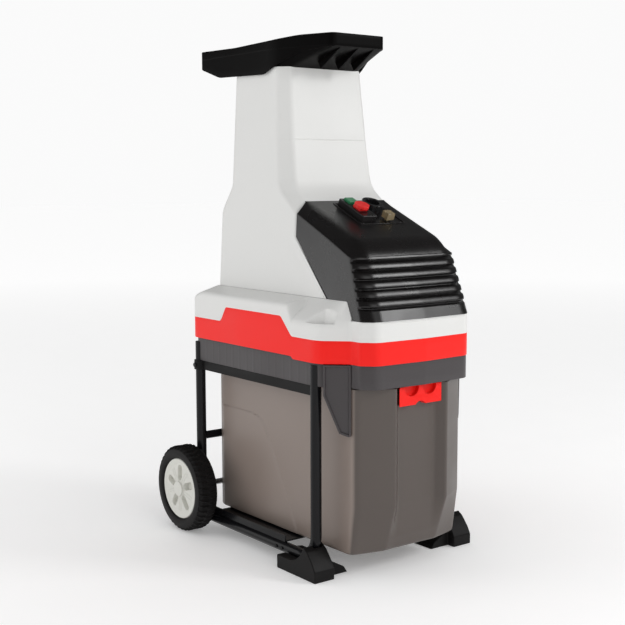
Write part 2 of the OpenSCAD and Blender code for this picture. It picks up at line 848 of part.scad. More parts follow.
module switch_plate() color(soft_black) difference() {
    on_slope(panel_mid[0], panel_mid[1], 0) block(
        [-panel_w / 2 + slide_gap, -panel_len / 2 + slide_gap, -4],
        [panel_w / 2 - slide_gap, panel_len / 2 - slide_gap, -1]);
    on_slope(inlet_x, inlet_y, 0) cylinder(r = inlet_r - 4, h = 20, center = true);
    on_slope(cap_x, cap_y, 0) cylinder(r = cap_stem_r + slide_gap, h = 20, center = true);
    on_slope(block_x, panel_mid[1], 0) block([-block_w / 2 + 3, -block_len / 2 + 3, -9], [block_w / 2 - 3, block_len / 2 - 3, 9]);
}

// Switch housing with the wells of the two buttons
module switch_block() color(soft_black) on_slope(block_x, panel_mid[1], 0) difference() {
    union() {
        block([-block_w / 2, -block_len / 2, -1], [block_w / 2, block_len / 2, block_h]);
        block([-block_w / 2 + 3.4, -block_len / 2 + 3.4, -30], [block_w / 2 - 3.4, block_len / 2 - 3.4, -0.9]);
    }
    for (y = [start_y, stop_y])
        block([-button_half - slide_gap, y - button_half - slide_gap, -12], [button_half + slide_gap, y + button_half + slide_gap, block_h + over]);
}
module start_button() color(green) on_slope(block_x, panel_mid[1], 0)
    block([-button_half, start_y - button_half, -7], [button_half, start_y + button_half, block_h + 1.5 + button_travel]);
module stop_button() color(signal_red) on_slope(block_x, panel_mid[1], 0) {
    block([-button_half, stop_y - button_half, -7], [button_half, stop_y + button_half, block_h + button_travel + 1]);
    translate([0, stop_y - 2, block_h + button_travel + 1]) rotate(22.5) cylinder(r = 15, h = 6, $fn = 8);
}

// Socket for the supply lead: a round collar with a floor that carries the pins
module mains_inlet() color(gloss_black) on_slope(inlet_x, inlet_y, 0) difference() {
    union() {
        translate([0, 0, -1]) cylinder(r = inlet_r, h = inlet_h);
        translate([0, 0, -22]) cylinder(r = inlet_r - 4 - slide_gap, h = 22);
    }
    translate([0, 0, -17]) cylinder(r = inlet_r - 7, h = 40);
    for (x = [-inlet_pin_x, inlet_pin_x]) translate([x, 0, -30]) cylinder(r = inlet_pin_r, h = 30);
}
module inlet_pins() color(brass) on_slope(inlet_x, inlet_y, 0) for (x = [-inlet_pin_x, inlet_pin_x])
    translate([x, 0, -28]) cylinder(r = inlet_pin_r, h = 28);

// Clear cap of the overload release, on its stem
module reset_cap() color([0.75, 0.68, 0.5, 0.6]) on_slope(cap_x, cap_y, 0) {
    translate([0, 0, button_travel]) block([-cap_side / 2, -cap_side / 2, 0], [cap_side / 2, cap_side / 2, 13]);
    translate([0, 0, -14]) cylinder(r = cap_stem_r, h = 20);
}

// Screws of the switch plate, the deck and the cover
module housing_screws() color(steel) {
    for (x = [panel_mid[0] - panel_w / 2 + 8, panel_mid[0] + panel_w / 2 - 8])
        on_slope(x, slope_y(4 - panel_len / 2), -1) cylinder(r = 2, h = 1.6);
}

// ---------- collection box and latch ----------

function box_plan() = both_sides([
    [ridge_x, ridge_y],
    [box_half - 1, box_corner_y],
    [box_half, box_corner_y + 7],
    [box_half, box_depth - 22],
    [box_half - 22, box_depth]
]);
module box_form(i) difference() {
    prism(inset_poly(box_plan(), i), box_z + i, box_top + (i > 0 ? over : 0));
    // slanted lower front
    side_profile([
        [ridge_y - 60, slant_z],
        [ridge_y + i * 1.05, slant_z],
        [ridge_y + slant_in + i * 1.05, box_z - tiny],
        [ridge_y - 60, box_z - tiny]
    ], half_w);
    // handle recess between the two ridges
    prism([
        [-recess_x - i - 30, recess_y + i - 30],
        [recess_x + i + 30, recess_y + i - 30],
        [recess_x + i * 0.4, recess_y + i],
        [-recess_x - i * 0.4, recess_y + i]
    ], slant_z - 60, box_top + 2 * over);
}
module collection_box() color(smoke) difference() {
    box_form(0);
    box_form(box_wall);
}

// Red latch in the box's recess, with two finger cups in its top edge
module box_latch() color(signal_red) difference() {
    prism([
        [-recess_x - 7, latch_front],
        [recess_x + 7, latch_front],
        [recess_x - 2.5, recess_y - slide_gap],
        [-recess_x + 2.5, recess_y - slide_gap]
    ], latch_top - latch_h, latch_top);
    for (x = [-finger_x, finger_x]) bar_y(finger_r, latch_front - over, recess_y - 3.5, x, latch_top - finger_drop);
    bar_y(14, latch_front - over, recess_y + over, 0, latch_top - latch_h - 8);
}

module safety_switch() color(soft_black) difference() {
    block([-switch_half, switch_front, deck_z + 8], [switch_half, latch_front + 17, deck_z + 32]);
    block([-plunger_half - slide_gap, latch_front + 7 - plunger_half - slide_gap, deck_z + 7],
        [plunger_half + slide_gap, latch_front + 7 + plunger_half + slide_gap, deck_z + 22]);
}
module safety_plunger() color(signal_red)
    block([-plunger_half, latch_front + 7 - plunger_half, latch_top + latch_travel - 3],
        [plunger_half, latch_front + 7 + plunger_half, deck_z + 22 - plunger_travel - slide_gap]);

// ---------- motor and gear train ----------

module motor_can() color(steel) difference() {
    bar_y(motor_d / 2, motor_y, motor_y + motor_len, motor_axis[0], motor_axis[1]);
    bar_y(motor_d / 2 - wall, motor_y + wall, motor_y + motor_len - wall, motor_axis[0], motor_axis[1]);
    bar_y(shaft_r + run_gap, motor_y - over, motor_y + motor_len + over, motor_axis[0], motor_axis[1]);
}
module stator() color(dark_grey) difference() {
    bar_y(motor_d / 2 - wall, motor_y + 30, motor_y + motor_len - 30, motor_axis[0], motor_axis[1]);
    bar_y(core_r + 1, motor_y + 29, motor_y + motor_len - 29, motor_axis[0], motor_axis[1]);
}
module windings() color(copper) for (y = [motor_y + 14, motor_y + motor_len - 30]) difference() {
    bar_y(motor_d / 2 - wall - 5, y, y + 16, motor_axis[0], motor_axis[1]);
    bar_y(core_r + 4, y - over, y + 17, motor_axis[0], motor_axis[1]);
}
module capacitor() color(light_grey) bar_y(19, 10, 90, 64, deck_z + deck_t + 19);

// Involute flank: point at radius r on base circle b, at angle a from the flank's root on the base circle
function involute_angle(b, r) = r <= b ? 0 : sqrt(r * r / (b * b) - 1) * 180 / PI - acos(b / r);
function polar(r, a) = [r * cos(a), r * sin(a)];
function tooth(m, n, half_pitch) =
    let (
        rp = m * n / 2,
        rb = rp * cos(pressure_angle),
        ra = rp + 0.9 * m,
        rf = rp - 1.2 * m,
        at_pitch = involute_angle(rb, rp),
        radii = [max(rb, rf), (max(rb, rf) + rp) / 2, rp, (rp + ra) / 2, ra]
    )
    concat(
        rf < rb ? [polar(rf, -half_pitch - at_pitch)] : [],
        [for (r = radii) polar(r, -half_pitch - at_pitch + involute_angle(rb, r))],
        [for (i = [4:-1:0]) polar(radii[i], half_pitch + at_pitch - involute_angle(rb, radii[i]))],
        rf < rb ? [polar(rf, half_pitch + at_pitch)] : []
    );
function gear_points(m, n, phase) = [
    for (k = [0:n - 1])
        let (turn = phase + 360 * k / n, half_pitch = 90 / n - stage_gap / (m * n / 2) * 90 / PI)
        for (p = tooth(m, n, half_pitch)) [
            p[0] * cos(turn) - p[1] * sin(turn),
            p[0] * sin(turn) + p[1] * cos(turn)
        ]
];
// A gear across Y with its centre at c = [x, z]; phase is the angle of its first tooth from +X towards +Z
module gear(c, m, n, phase, y, w) front_at(c, y, w) polygon(gear_points(m, n, phase));
module front_at(c, y, w) translate([c[0], y + w, c[1]]) rotate([90, 0, 0]) linear_extrude(w) children();

function heading(a, b) = atan2(b[1] - a[1], b[0] - a[0]);
// The driver's tooth points along the line of centres, and the driven gear has a gap there
function drive_phase(a, b) = heading(a, b);
function driven_phase(a, b, n) = heading(b, a) + 180 / n;

module rotor_shaft() color(steel) {
    bar_y(shaft_r, fan_y - 4, stage_y[0], motor_axis[0], motor_axis[1]);
    gear(motor_axis, stage_module[0], pinion_teeth[0], drive_phase(motor_axis, first_axis), stage_y[0] - tiny, stage_w[0] + 2);
}
module rotor_core() color(dark_grey) difference() {
    bar_y(core_r, motor_y + 28, motor_y + motor_len - 28, motor_axis[0], motor_axis[1]);
    bar_y(shaft_r, motor_y, motor_y + motor_len, motor_axis[0], motor_axis[1]);
}
module cooling_fan() color(soft_black) {
    difference() {
        union() {
            bar_y(14, fan_y, fan_y + fan_t, motor_axis[0], motor_axis[1]);
            bar_y(fan_r, fan_y + fan_t - 2, fan_y + fan_t, motor_axis[0], motor_axis[1]);
        }
        bar_y(shaft_r, fan_y - over, fan_y + fan_t + over, motor_axis[0], motor_axis[1]);
    }
    for (i = [0:8]) translate([motor_axis[0], 0, motor_axis[1]]) rotate([0, 40 * i, 0])
        block([13.8, fan_y + 1, -1], [fan_r - 1, fan_y + fan_t - 1.9, 1]);
}

// One idler: the driven wheel of stage i and the pinion of stage i + 1 on one sleeve
module idler(c, i, from, to) difference() {
    union() {
        gear(c, stage_module[i], wheel_teeth[i], driven_phase(from, c, wheel_teeth[i]), stage_y[i], stage_w[i]);
        bar_y(pin_r + 2, stage_y[i] + stage_w[i] - tiny, stage_y[i + 1] + tiny, c[0], c[1]);
        gear(c, stage_module[i + 1], pinion_teeth[i + 1], drive_phase(c, to), stage_y[i + 1], stage_w[i + 1]);
    }
    bar_y(pin_r + run_gap, stage_y[i] - over, stage_y[i + 1] + stage_w[i + 1] + over, c[0], c[1]);
}
module first_gear() color(steel) idler(first_axis, 0, motor_axis, second_axis);
module second_gear() color(steel) idler(second_axis, 1, first_axis, roller_axis);
module output_gear() color(steel) difference() {
    gear(roller_axis, stage_module[2], wheel_teeth[2], driven_phase(second_axis, roller_axis, wheel_teeth[2]), stage_y[2], stage_w[2]);
    bar_y(roller_shaft_r, stage_y[2] - over, stage_y[2] + stage_w[2] + over, roller_axis[0], roller_axis[1]);
}
module gear_pins() color(steel) for (c = [first_axis, second_axis])
    bar_y(pin_r, case_y + case_wall, case_y + case_len - case_wall, c[0], c[1]);

module gearbox_case() color(cast_alloy) difference() {
    block([case_lo[0], case_y, case_lo[1]], [case_hi[0], case_y + case_len - case_wall, case_hi[1]]);
    block([case_lo[0] + case_wall, case_y + case_wall, case_lo[1] + case_wall],
        [case_hi[0] - case_wall, case_y + case_len, case_hi[1] - case_wall]);
    bar_y(shaft_r + run_gap, case_y - over, case_y + case_wall + over, motor_axis[0], motor_axis[1]);
    bar_y(roller_shaft_r + run_gap, case_y - over, case_y + case_wall + over, roller_axis[0], roller_axis[1]);
}
module gearbox_cover() color(cast_alloy) difference() {
    block([case_lo[0], case_y + case_len - case_wall, case_lo[1]], [case_hi[0], case_y + case_len, case_hi[1]]);
    bar_y(roller_shaft_r + run_gap, case_y, case_y + 2 * case_len, roller_axis[0], roller_axis[1]);
}

// ---------- cutting chamber ----------

module cutter_frame() color(cast_alloy) difference() {
    block([-chamber_half, chamber_y, chamber_z[0]], [chamber_half, roller_y + roller_len + 4 + chamber_wall, chamber_z[1]]);
    block([-chamber_half + chamber_wall, chamber_y + chamber_wall, chamber_z[0] - over],
        [chamber_half - chamber_wall, roller_y + roller_len + 4, chamber_z[1] + over]);
    bar_y(bush_r, chamber_y - over, body_depth, roller_axis[0], roller_axis[1]);
    bar_x(screw_r + run_gap, chamber_half - chamber_wall - over, chamber_half + over, adjust_y, roller_axis[1]);
}
module roller_bushes() color(brass) for (y = [chamber_y, roller_y + roller_len + 4]) difference() {
    bar_y(bush_r, y, y + chamber_wall, roller_axis[0], roller_axis[1]);
    bar_y(roller_shaft_r + run_gap, y - over, y + chamber_wall + over, roller_axis[0], roller_axis[1]);
}

// Toothed roller on its shaft; each tooth is a saw profile
module cutting_roller() color(steel) {
    front_at(roller_axis, roller_y, roller_len) polygon([
        for (i = [0:roller_teeth - 1]) for (p = [[0, roller_d / 2], [10, roller_d / 2], [18, roller_d / 2 - 12], [34, roller_d / 2 - 12]])
            polar(p[1], 360 / roller_teeth * (i + p[0] / 45))
    ]);
    bar_y(roller_shaft_r, case_y + 0.5, roller_y + tiny, roller_axis[0], roller_axis[1]);
    bar_y(roller_shaft_r, roller_y + roller_len - tiny, roller_y + roller_len + 14, roller_axis[0], roller_axis[1]);
}
module pressure_plate() color(cast_alloy) difference() {
    union() {
        block([plate_x, roller_y - 2, chamber_z[0] + 12], [plate_x + plate_t, roller_y + roller_len + 2, chamber_z[1] - 14]);
        bar_x(screw_r + 6, plate_x + plate_t - tiny, plate_x + plate_t + boss_len, adjust_y, roller_axis[1]);
    }
    bar_x(screw_r + run_gap, plate_x + 4, plate_x + plate_t + boss_len + over, adjust_y, roller_axis[1]);
}
module adjusting_screw() color(steel) {
    bar_x(screw_r, plate_x + 4 + 2, knob_x + 2, adjust_y, roller_axis[1]);
}
module adjuster_knob() color(soft_black) translate([knob_x, adjust_y, roller_axis[1]]) rotate([0, 90, 0]) difference() {
    union() {
        cylinder(r = knob_r, h = knob_t);
        for (i = [0:5]) rotate(60 * i) translate([knob_r - 2, 0, 0]) cylinder(r = 5, h = knob_t);
    }
    translate([0, 0, -over]) cylinder(r = screw_r, h = 3 + tiny);
}

// ---------- nodes ----------

in_frame() frame_left();
in_frame() frame_right();
in_frame() strap_left();
in_frame() strap_right();
in_frame() cross_tube();
in_frame() axle();
in_frame() axle_clips();
in_frame() foot_left();
in_frame() foot_right();
in_frame() runner_left();
in_frame() runner_right();
in_frame() frame_screws();
in_frame() tyre_left();
in_frame() hub_left();
in_frame() hub_cap_left();
in_frame() tyre_right();
in_frame() hub_right();
in_frame() hub_cap_right();
in_frame() base_housing();
in_frame() red_band();
in_frame() upper_housing();
in_frame() feed_chute();
in_frame() funnel();
in_frame() motor_cover();
in_frame() switch_plate();
in_frame() switch_block();
in_frame() start_button();
in_frame() stop_button();
in_frame() reset_cap();
in_frame() mains_inlet();
in_frame() inlet_pins();
in_frame() housing_screws();
in_frame() collection_box();
in_frame() box_latch();
in_frame() safety_switch();
in_frame() safety_plunger();
in_frame() motor_can();
in_frame() stator();
in_frame() windings();
in_frame() capacitor();
in_frame() rotor_shaft();
in_frame() rotor_core();
in_frame() cooling_fan();
in_frame() gearbox_case();
in_frame() gearbox_cover();
in_frame() gear_pins();
in_frame() first_gear();
in_frame() second_gear();
in_frame() output_gear();
in_frame() cutter_frame();
in_frame() roller_bushes();
in_frame() cutting_roller();
in_frame() pressure_plate();
in_frame() adjusting_screw();
in_frame() adjuster_knob();
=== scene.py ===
# %% [markdown]
# # Electric garden shredder
# The machine is a tall light grey chute with a black funnel on a red-banded housing, a black motor cover in
# front, a grey-brown collection box in a tube frame, and two wheels. The frame below is the dimensioned
# model; this lesson rounds its moulded edges, adds the small detail and gives every piece its finish.

# %% Load the dimensioned model
import json
import math

import bmesh
import bpy
import numpy as np
from mathutils import Matrix, Vector

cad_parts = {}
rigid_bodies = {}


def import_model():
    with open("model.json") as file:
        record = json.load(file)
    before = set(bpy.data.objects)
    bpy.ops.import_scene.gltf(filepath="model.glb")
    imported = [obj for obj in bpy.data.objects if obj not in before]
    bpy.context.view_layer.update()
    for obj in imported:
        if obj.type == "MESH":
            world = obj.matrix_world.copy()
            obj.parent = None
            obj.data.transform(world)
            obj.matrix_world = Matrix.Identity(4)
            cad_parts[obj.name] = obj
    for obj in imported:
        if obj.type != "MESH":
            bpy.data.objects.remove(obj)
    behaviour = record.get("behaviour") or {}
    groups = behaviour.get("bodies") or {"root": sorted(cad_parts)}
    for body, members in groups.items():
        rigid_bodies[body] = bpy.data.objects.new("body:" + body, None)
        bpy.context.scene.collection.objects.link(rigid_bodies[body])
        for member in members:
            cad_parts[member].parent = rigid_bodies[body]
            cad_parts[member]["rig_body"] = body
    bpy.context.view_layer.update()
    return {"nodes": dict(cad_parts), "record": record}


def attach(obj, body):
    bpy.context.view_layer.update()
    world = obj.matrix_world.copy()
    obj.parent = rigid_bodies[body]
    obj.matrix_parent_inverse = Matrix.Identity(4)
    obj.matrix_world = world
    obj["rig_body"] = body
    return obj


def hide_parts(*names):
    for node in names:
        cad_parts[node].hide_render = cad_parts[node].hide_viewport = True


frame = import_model()
nodes = frame["nodes"]
MM = 0.001
Y_MID = 218.0  # the plan is drawn from the toe of the feet; the model's origin lies this far behind it

# %% [markdown]
# ## Camera
# A short telephoto view from the front left, a little above the wheels' height and looking slightly down.

# %% Place the camera
VIEW_YAW, VIEW_PITCH, VIEW_ROLL = math.radians(37.14), math.radians(6.53), math.radians(-0.18)
camera = bpy.data.objects.new("camera", bpy.data.cameras.new("camera"))
bpy.context.scene.collection.objects.link(camera)
camera.data.lens = 66.35
camera.data.sensor_width = 36.0
camera.location = (-1.3837, -1.7865, 0.710)
toward = Vector((math.sin(VIEW_YAW) * math.cos(VIEW_PITCH), math.cos(VIEW_YAW) * math.cos(VIEW_PITCH),
                 -math.sin(VIEW_PITCH)))
camera.rotation_mode = "QUATERNION"
roll = Matrix.Rotation(VIEW_ROLL, 3, "Z").to_quaternion()
camera.rotation_quaternion = toward.to_track_quat("-Z", "Y") @ roll
bpy.context.scene.camera = camera
print("camera", tuple(round(v, 3) for v in camera.location))

# %% [markdown]
# ## Finishes
# Almost everything here is moulded plastic. A mould leaves a fine even grain, and large flat walls are never
# quite even in gloss or tone. So each finish is one shader whose colour and roughness drift a little with a
# broad noise, while a fine noise lifts the surface by a few hundredths of a millimetre. The patterns read
# object coordinates, so they stay on the piece when it moves.

# %% One helper for all finishes
def finish(name, colour, rough, metallic=0.0, grain=900.0, depth=0.04, drift=0.03, drift_size=9.0,
           stretch=(1, 1, 1), gloss_drift=0.06, coat=0.0, specular=0.5):
    """A shader with a fine bump of `grain` bumps per metre and `depth` millimetres, and a broad drift of
    tone and roughness."""
    material = bpy.data.materials.new(name)
    material.use_nodes = True
    tree = material.node_tree
    shader = tree.nodes["Principled BSDF"]
    shader.inputs["Metallic"].default_value = metallic
    shader.inputs["Specular IOR Level"].default_value = specular
    shader.inputs["Coat Weight"].default_value = coat
    shader.inputs["Coat Roughness"].default_value = 0.12
    place = tree.nodes.new("ShaderNodeTexCoord")
    turn = tree.nodes.new("ShaderNodeMapping")
    turn.inputs["Scale"].default_value = stretch
    tree.links.new(place.outputs["Object"], turn.inputs["Vector"])
    broad = tree.nodes.new("ShaderNodeTexNoise")
    broad.inputs["Scale"].default_value = drift_size
    broad.inputs["Detail"].default_value = 5.0
    tree.links.new(turn.outputs["Vector"], broad.inputs["Vector"])
    tone = tree.nodes.new("ShaderNodeMix")
    tone.data_type = "RGBA"
    light = [min(1.0, c * (1 + drift)) for c in colour]
    dark = [c * (1 - drift) for c in colour]
    tone.inputs["A"].default_value = (*dark, 1)
    tone.inputs["B"].default_value = (*light, 1)
    tree.links.new(broad.outputs["Fac"], tone.inputs["Factor"])
    tree.links.new(tone.outputs["Result"], shader.inputs["Base Color"])
    gloss = tree.nodes.new("ShaderNodeMapRange")
    gloss.inputs["From Min"].default_value = 0.3
    gloss.inputs["From Max"].default_value = 0.7
    gloss.inputs["To Min"].default_value = max(0.03, rough - gloss_drift)
    gloss.inputs["To Max"].default_value = rough + gloss_drift
    tree.links.new(broad.outputs["Fac"], gloss.inputs["Value"])
    tree.links.new(gloss.outputs["Result"], shader.inputs["Roughness"])
    fine = tree.nodes.new("ShaderNodeTexNoise")
    fine.inputs["Scale"].default_value = grain
    fine.inputs["Detail"].default_value = 2.0
    tree.links.new(turn.outputs["Vector"], fine.inputs["Vector"])
    bump = tree.nodes.new("ShaderNodeBump")
    bump.inputs["Distance"].default_value = depth * MM
    bump.inputs["Strength"].default_value = 0.7
    tree.links.new(fine.outputs["Fac"], bump.inputs["Height"])
    tree.links.new(bump.outputs["Normal"], shader.inputs["Normal"])
    return material


FINISH = {
    "light_shell": finish("light_shell", (0.735, 0.735, 0.72), 0.46, grain=1100, depth=0.05, drift=0.015),
    "light_hub": finish("light_hub", (0.69, 0.69, 0.64), 0.5, grain=1200, depth=0.04, drift=0.03),
    "red_band": finish("red_band", (0.93, 0.010, 0.006), 0.42, grain=1000, depth=0.05, drift=0.05,
                       specular=0.25),
    "red_button": finish("red_button", (0.80, 0.022, 0.02), 0.3, grain=1500, depth=0.02, drift=0.05),
    "green_button": finish("green_button", (0.02, 0.2, 0.08), 0.3, grain=1500, depth=0.02, drift=0.08),
    "dark_housing": finish("dark_housing", (0.05, 0.0435, 0.0455), 0.45, grain=1100, depth=0.06, drift=0.06),
    "black_shell": finish("black_shell", (0.0055, 0.0045, 0.0045), 0.28, grain=1100, depth=0.07, drift=0.1),
    "black_strap": finish("black_strap", (0.009, 0.0085, 0.0085), 0.42, grain=1100, depth=0.06,
                          drift=0.1, specular=0.12),
    "inlet": finish("inlet", (0.01, 0.01, 0.011), 0.25, grain=1500, depth=0.02, drift=0.1),
    "gloss_black_tube": finish("gloss_black_tube", (0.006, 0.006, 0.007), 0.2, grain=260, depth=0.05,
                               drift=0.1,
                               coat=0.1, specular=0.15),
    "zinc_steel": finish("zinc_steel", (0.62, 0.63, 0.64), 0.3, metallic=1.0, grain=700, depth=0.03,
                         drift=0.08),
    "tyre": finish("tyre", (0.010, 0.0092, 0.0092), 0.55, grain=650, depth=0.12, drift=0.12, specular=0.18),
    "box_plastic": finish("box_plastic", (0.088, 0.071, 0.062), 0.36, grain=1000, depth=0.05, drift=0.05),
    "brass": finish("brass", (0.72, 0.52, 0.22), 0.28, metallic=1.0, grain=700, depth=0.02, drift=0.08),
    "lamination": finish("lamination", (0.12, 0.12, 0.13), 0.45, metallic=0.8, grain=2200, depth=0.06,
                         stretch=(0.05, 1, 0.05)),
    "copper": finish("copper", (0.62, 0.26, 0.12), 0.3, metallic=1.0, grain=1300, depth=0.2, stretch=(1,
                                                                                                      0.2,
                                                                                                      1)),
    "white_can": finish("white_can", (0.72, 0.72, 0.7), 0.35, grain=900, depth=0.02),
    "gear_steel": finish("gear_steel", (0.42, 0.43, 0.44), 0.32, metallic=1.0, grain=900, depth=0.03,
                         drift=0.1),
    "cast_alloy": finish("cast_alloy", (0.46, 0.47, 0.48), 0.5, metallic=1.0, grain=420, depth=0.25,
                         drift=0.08),
    "hard_steel": finish("hard_steel", (0.36, 0.36, 0.37), 0.28, metallic=1.0, grain=800, depth=0.04,
                         drift=0.12,
                         stretch=(1, 0.08, 1)),
}
FINISH["funnel_black"] = finish("funnel_black", (0.0025, 0.0022, 0.0022), 0.4, depth=0.07, drift=0.1,
                                specular=0.04)


def paint_side_light(material, from_x, to_x, gain):
    """Paints light onto the side walls: the tone is multiplied by up to `gain` where |x| passes from `from_x` to
    `to_x` metres, so the sides come out lighter than the front. The walls themselves are opaque."""
    tree = material.node_tree
    base = tree.nodes["Principled BSDF"].inputs["Base Color"]
    tone = base.links[0].from_socket
    place = tree.nodes.new("ShaderNodeTexCoord")
    split = tree.nodes.new("ShaderNodeSeparateXYZ")
    size = tree.nodes.new("ShaderNodeMath")
    size.operation = "ABSOLUTE"
    ramp = tree.nodes.new("ShaderNodeMapRange")
    ramp.inputs["From Min"].default_value = from_x
    ramp.inputs["From Max"].default_value = to_x
    ramp.inputs["To Min"].default_value = 1.0
    ramp.inputs["To Max"].default_value = gain
    scale = tree.nodes.new("ShaderNodeVectorMath")
    scale.operation = "SCALE"
    tree.links.new(place.outputs["Object"], split.inputs["Vector"])
    tree.links.new(split.outputs["X"], size.inputs[0])
    tree.links.new(size.outputs["Value"], ramp.inputs["Value"])
    tree.links.new(tone, scale.inputs[0])
    tree.links.new(ramp.outputs["Result"], scale.inputs["Scale"])
    tree.links.new(scale.outputs["Vector"], base)


# painted light: the box's side walls are painted 2.9 times lighter than its front
paint_side_light(FINISH["box_plastic"], 0.1245, 0.1272, 2.9)
clear = finish("clear_cap", (0.5, 0.4, 0.24), 0.12, grain=600, depth=0.05, drift=0.2)
clear.node_tree.nodes["Principled BSDF"].inputs["Transmission Weight"].default_value = 0.55
FINISH["clear_cap"] = clear
print("finishes", len(FINISH))

# %% [markdown]
# ## Which finish belongs to which node
# The record names a material slot for every node, so a node that keeps its own mesh takes its finish from
# there.

# %% Dress every node of the dimensioned model
SLOT = {row["node"]: row["material_slot"] for row in frame["record"]["subparts"]}
for node, thing in nodes.items():
    thing.data.materials.clear()
    thing.data.materials.append(FINISH[SLOT[node]])
print("dressed", len(nodes))

# %% [markdown]
# ## Surfaces from a net of corners
# Each big shell is drawn as a few corner points per level, from the middle of the front round one side to
# the middle of the back. Every corner is then eased with a short curve, the levels are stacked into a grid,
# and the other half is its mirror image. A Solidify gives the wall and a small Bevel softens its rim. This
# keeps the numbers few and the rounding even, where sculpting or booleans would need repair.

# %% Easing corners, mirroring and stacking
def eased(net, cut, steps=6):
    """Replaces each inner corner of a path (last but one axis) by a quadratic curve
    (1-t)^2 A + 2t(1-t) C + t^2 B, whose ends A and B lie `cut` mm before and after the corner C."""
    net = np.asarray(net, float)
    cut = np.broadcast_to(np.asarray(cut, float), (net.shape[-2] - 2,))
    out = [net[..., :1, :]]
    t = np.linspace(0, 1, steps)[:, None]
    for k in range(1, net.shape[-2] - 1):
        corner = net[..., k, :]
        before, after = net[..., k - 1, :] - corner, net[..., k + 1, :] - corner
        size_b = np.linalg.norm(before, axis=-1, keepdims=True) + 1e-6
        size_a = np.linalg.norm(after, axis=-1, keepdims=True) + 1e-6
        start = corner + before / size_b * np.minimum(cut[k - 1], size_b * 0.48)
        end = corner + after / size_a * np.minimum(cut[k - 1], size_a * 0.48)
        out.append((1 - t) ** 2 * start[..., None, :] + 2 * t * (1 - t) * corner[..., None, :]
                   + t ** 2 * end[..., None, :])
    out.append(net[..., -1:, :])
    return np.concatenate(out, axis=-2)


def spread(grid, step):
    """Adds points along the second axis so that no gap is wider than `step` mm."""
    gap = np.linalg.norm(np.diff(grid, axis=1), axis=-1).max(axis=0)
    parts = []
    for k, width in enumerate(gap):
        n = max(1, int(np.ceil(width / step)))
        t = (np.arange(n) / n)[None, :, None]
        parts.append(grid[:, k:k + 1] * (1 - t) + grid[:, k + 1:k + 2] * t)
    parts.append(grid[:, -1:])
    return np.concatenate(parts, axis=1)


def both_halves(half):
    """Half a ring, from the front middle to the back middle on the +X side, closed by its mirror image."""
    other = half[:, -2:0:-1] * np.array([-1.0, 1, 1])
    return np.concatenate([half, other], axis=1)


def blurred(values, width):
    """A moving average over `width` samples that keeps the ends."""
    pad = width // 2
    long = np.concatenate([np.full(pad, values[0]), values, np.full(pad, values[-1])])
    return np.convolve(long, np.ones(2 * pad + 1) / (2 * pad + 1), "valid")


def place(points):
    """Millimetres behind the toe of the feet to metres in the model's frame."""
    return (np.asarray(points, float) - np.array([0, Y_MID, 0])) * MM


def skin(name, grid, node=None, body="chassis", slot=None, ring=True, wall=3.0, rim=0.6, caps=(), crease=32,
         inward=True):
    """A grid of points (levels, stations, 3) in millimetres becomes a mesh. Its faces are turned outwards by
    comparing their normals with the direction from the grid's centre."""
    rows, cols = grid.shape[:2]
    index = np.arange(rows * cols).reshape(rows, cols)
    right = np.roll(index, -1, axis=1) if ring else index[:, 1:]
    left = index if ring else index[:, :-1]
    quads = np.stack([left[:-1], right[:-1], right[1:], left[1:]], axis=-1).reshape(-1, 4)
    flat = place(grid.reshape(-1, 3))
    middle = flat[quads].mean(axis=1)
    normal = np.cross(flat[quads[:, 2]] - flat[quads[:, 0]], flat[quads[:, 3]] - flat[quads[:, 1]])
    outward = (normal * (middle - flat.mean(axis=0))).sum()
    faces = quads.tolist() if (outward > 0) == inward else quads[:, ::-1].tolist()
    for level in caps:
        loop = index[level].tolist()
        faces.append(loop if (level == 0) != (outward > 0) else loop[::-1])
    mesh = bpy.data.meshes.new(name)
    mesh.from_pydata(flat.tolist(), [], faces)
    shape = bmesh.new()
    shape.from_mesh(mesh)
    bmesh.ops.remove_doubles(shape, verts=shape.verts, dist=0.01 * MM)
    bmesh.ops.dissolve_degenerate(shape, edges=shape.edges, dist=0.005 * MM)
    shape.to_mesh(mesh)
    shape.free()
    return dress(name, mesh, node, body, slot, wall, rim, crease)


def dress(name, mesh, node, body, slot, wall=0.0, rim=0.0, crease=32):
    """Puts a mesh in the scene with its wall, rim, finish and body."""
    mesh.polygons.foreach_set("use_smooth", np.ones(len(mesh.polygons), bool))
    mesh.set_sharp_from_angle(angle=math.radians(crease))
    piece = bpy.data.objects.new(name, mesh)
    bpy.context.scene.collection.objects.link(piece)
    if wall:
        thick = piece.modifiers.new("wall", "SOLIDIFY")
        thick.thickness = wall * MM
        thick.offset = -1
        thick.use_even_offset = False
    if rim:
        soft = piece.modifiers.new("rim", "BEVEL")
        soft.width = rim * MM
        soft.segments = 2
        soft.limit_method = "ANGLE"
        soft.angle_limit = math.radians(50)
        soft.use_clamp_overlap = True
        soft.harden_normals = True
    slot = slot or SLOT[node]
    mesh.materials.append(FINISH[slot])
    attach(piece, body)
    if node:
        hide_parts(node)
    print(name, "vertices", len(mesh.vertices))
    return piece


def side_x(z):
    """Half width of the leaning side plane that the chute and the motor cover share."""
    return 126.0 - (z - 500.0) * 0.0566


# %% [markdown]
# ## Feed chute
# One tall grey shell with broad cut corners. Its front sweeps forward at the bottom to meet the motor cover,
# and its back steps out. The levels are worked out from a few heights, then blurred so that the sweep is
# soft.

# %% Chute
def along(z, heights, values, width=5):
    """Values at given heights, joined by lines and softened."""
    return blurred(np.interp(z, heights, values), width)


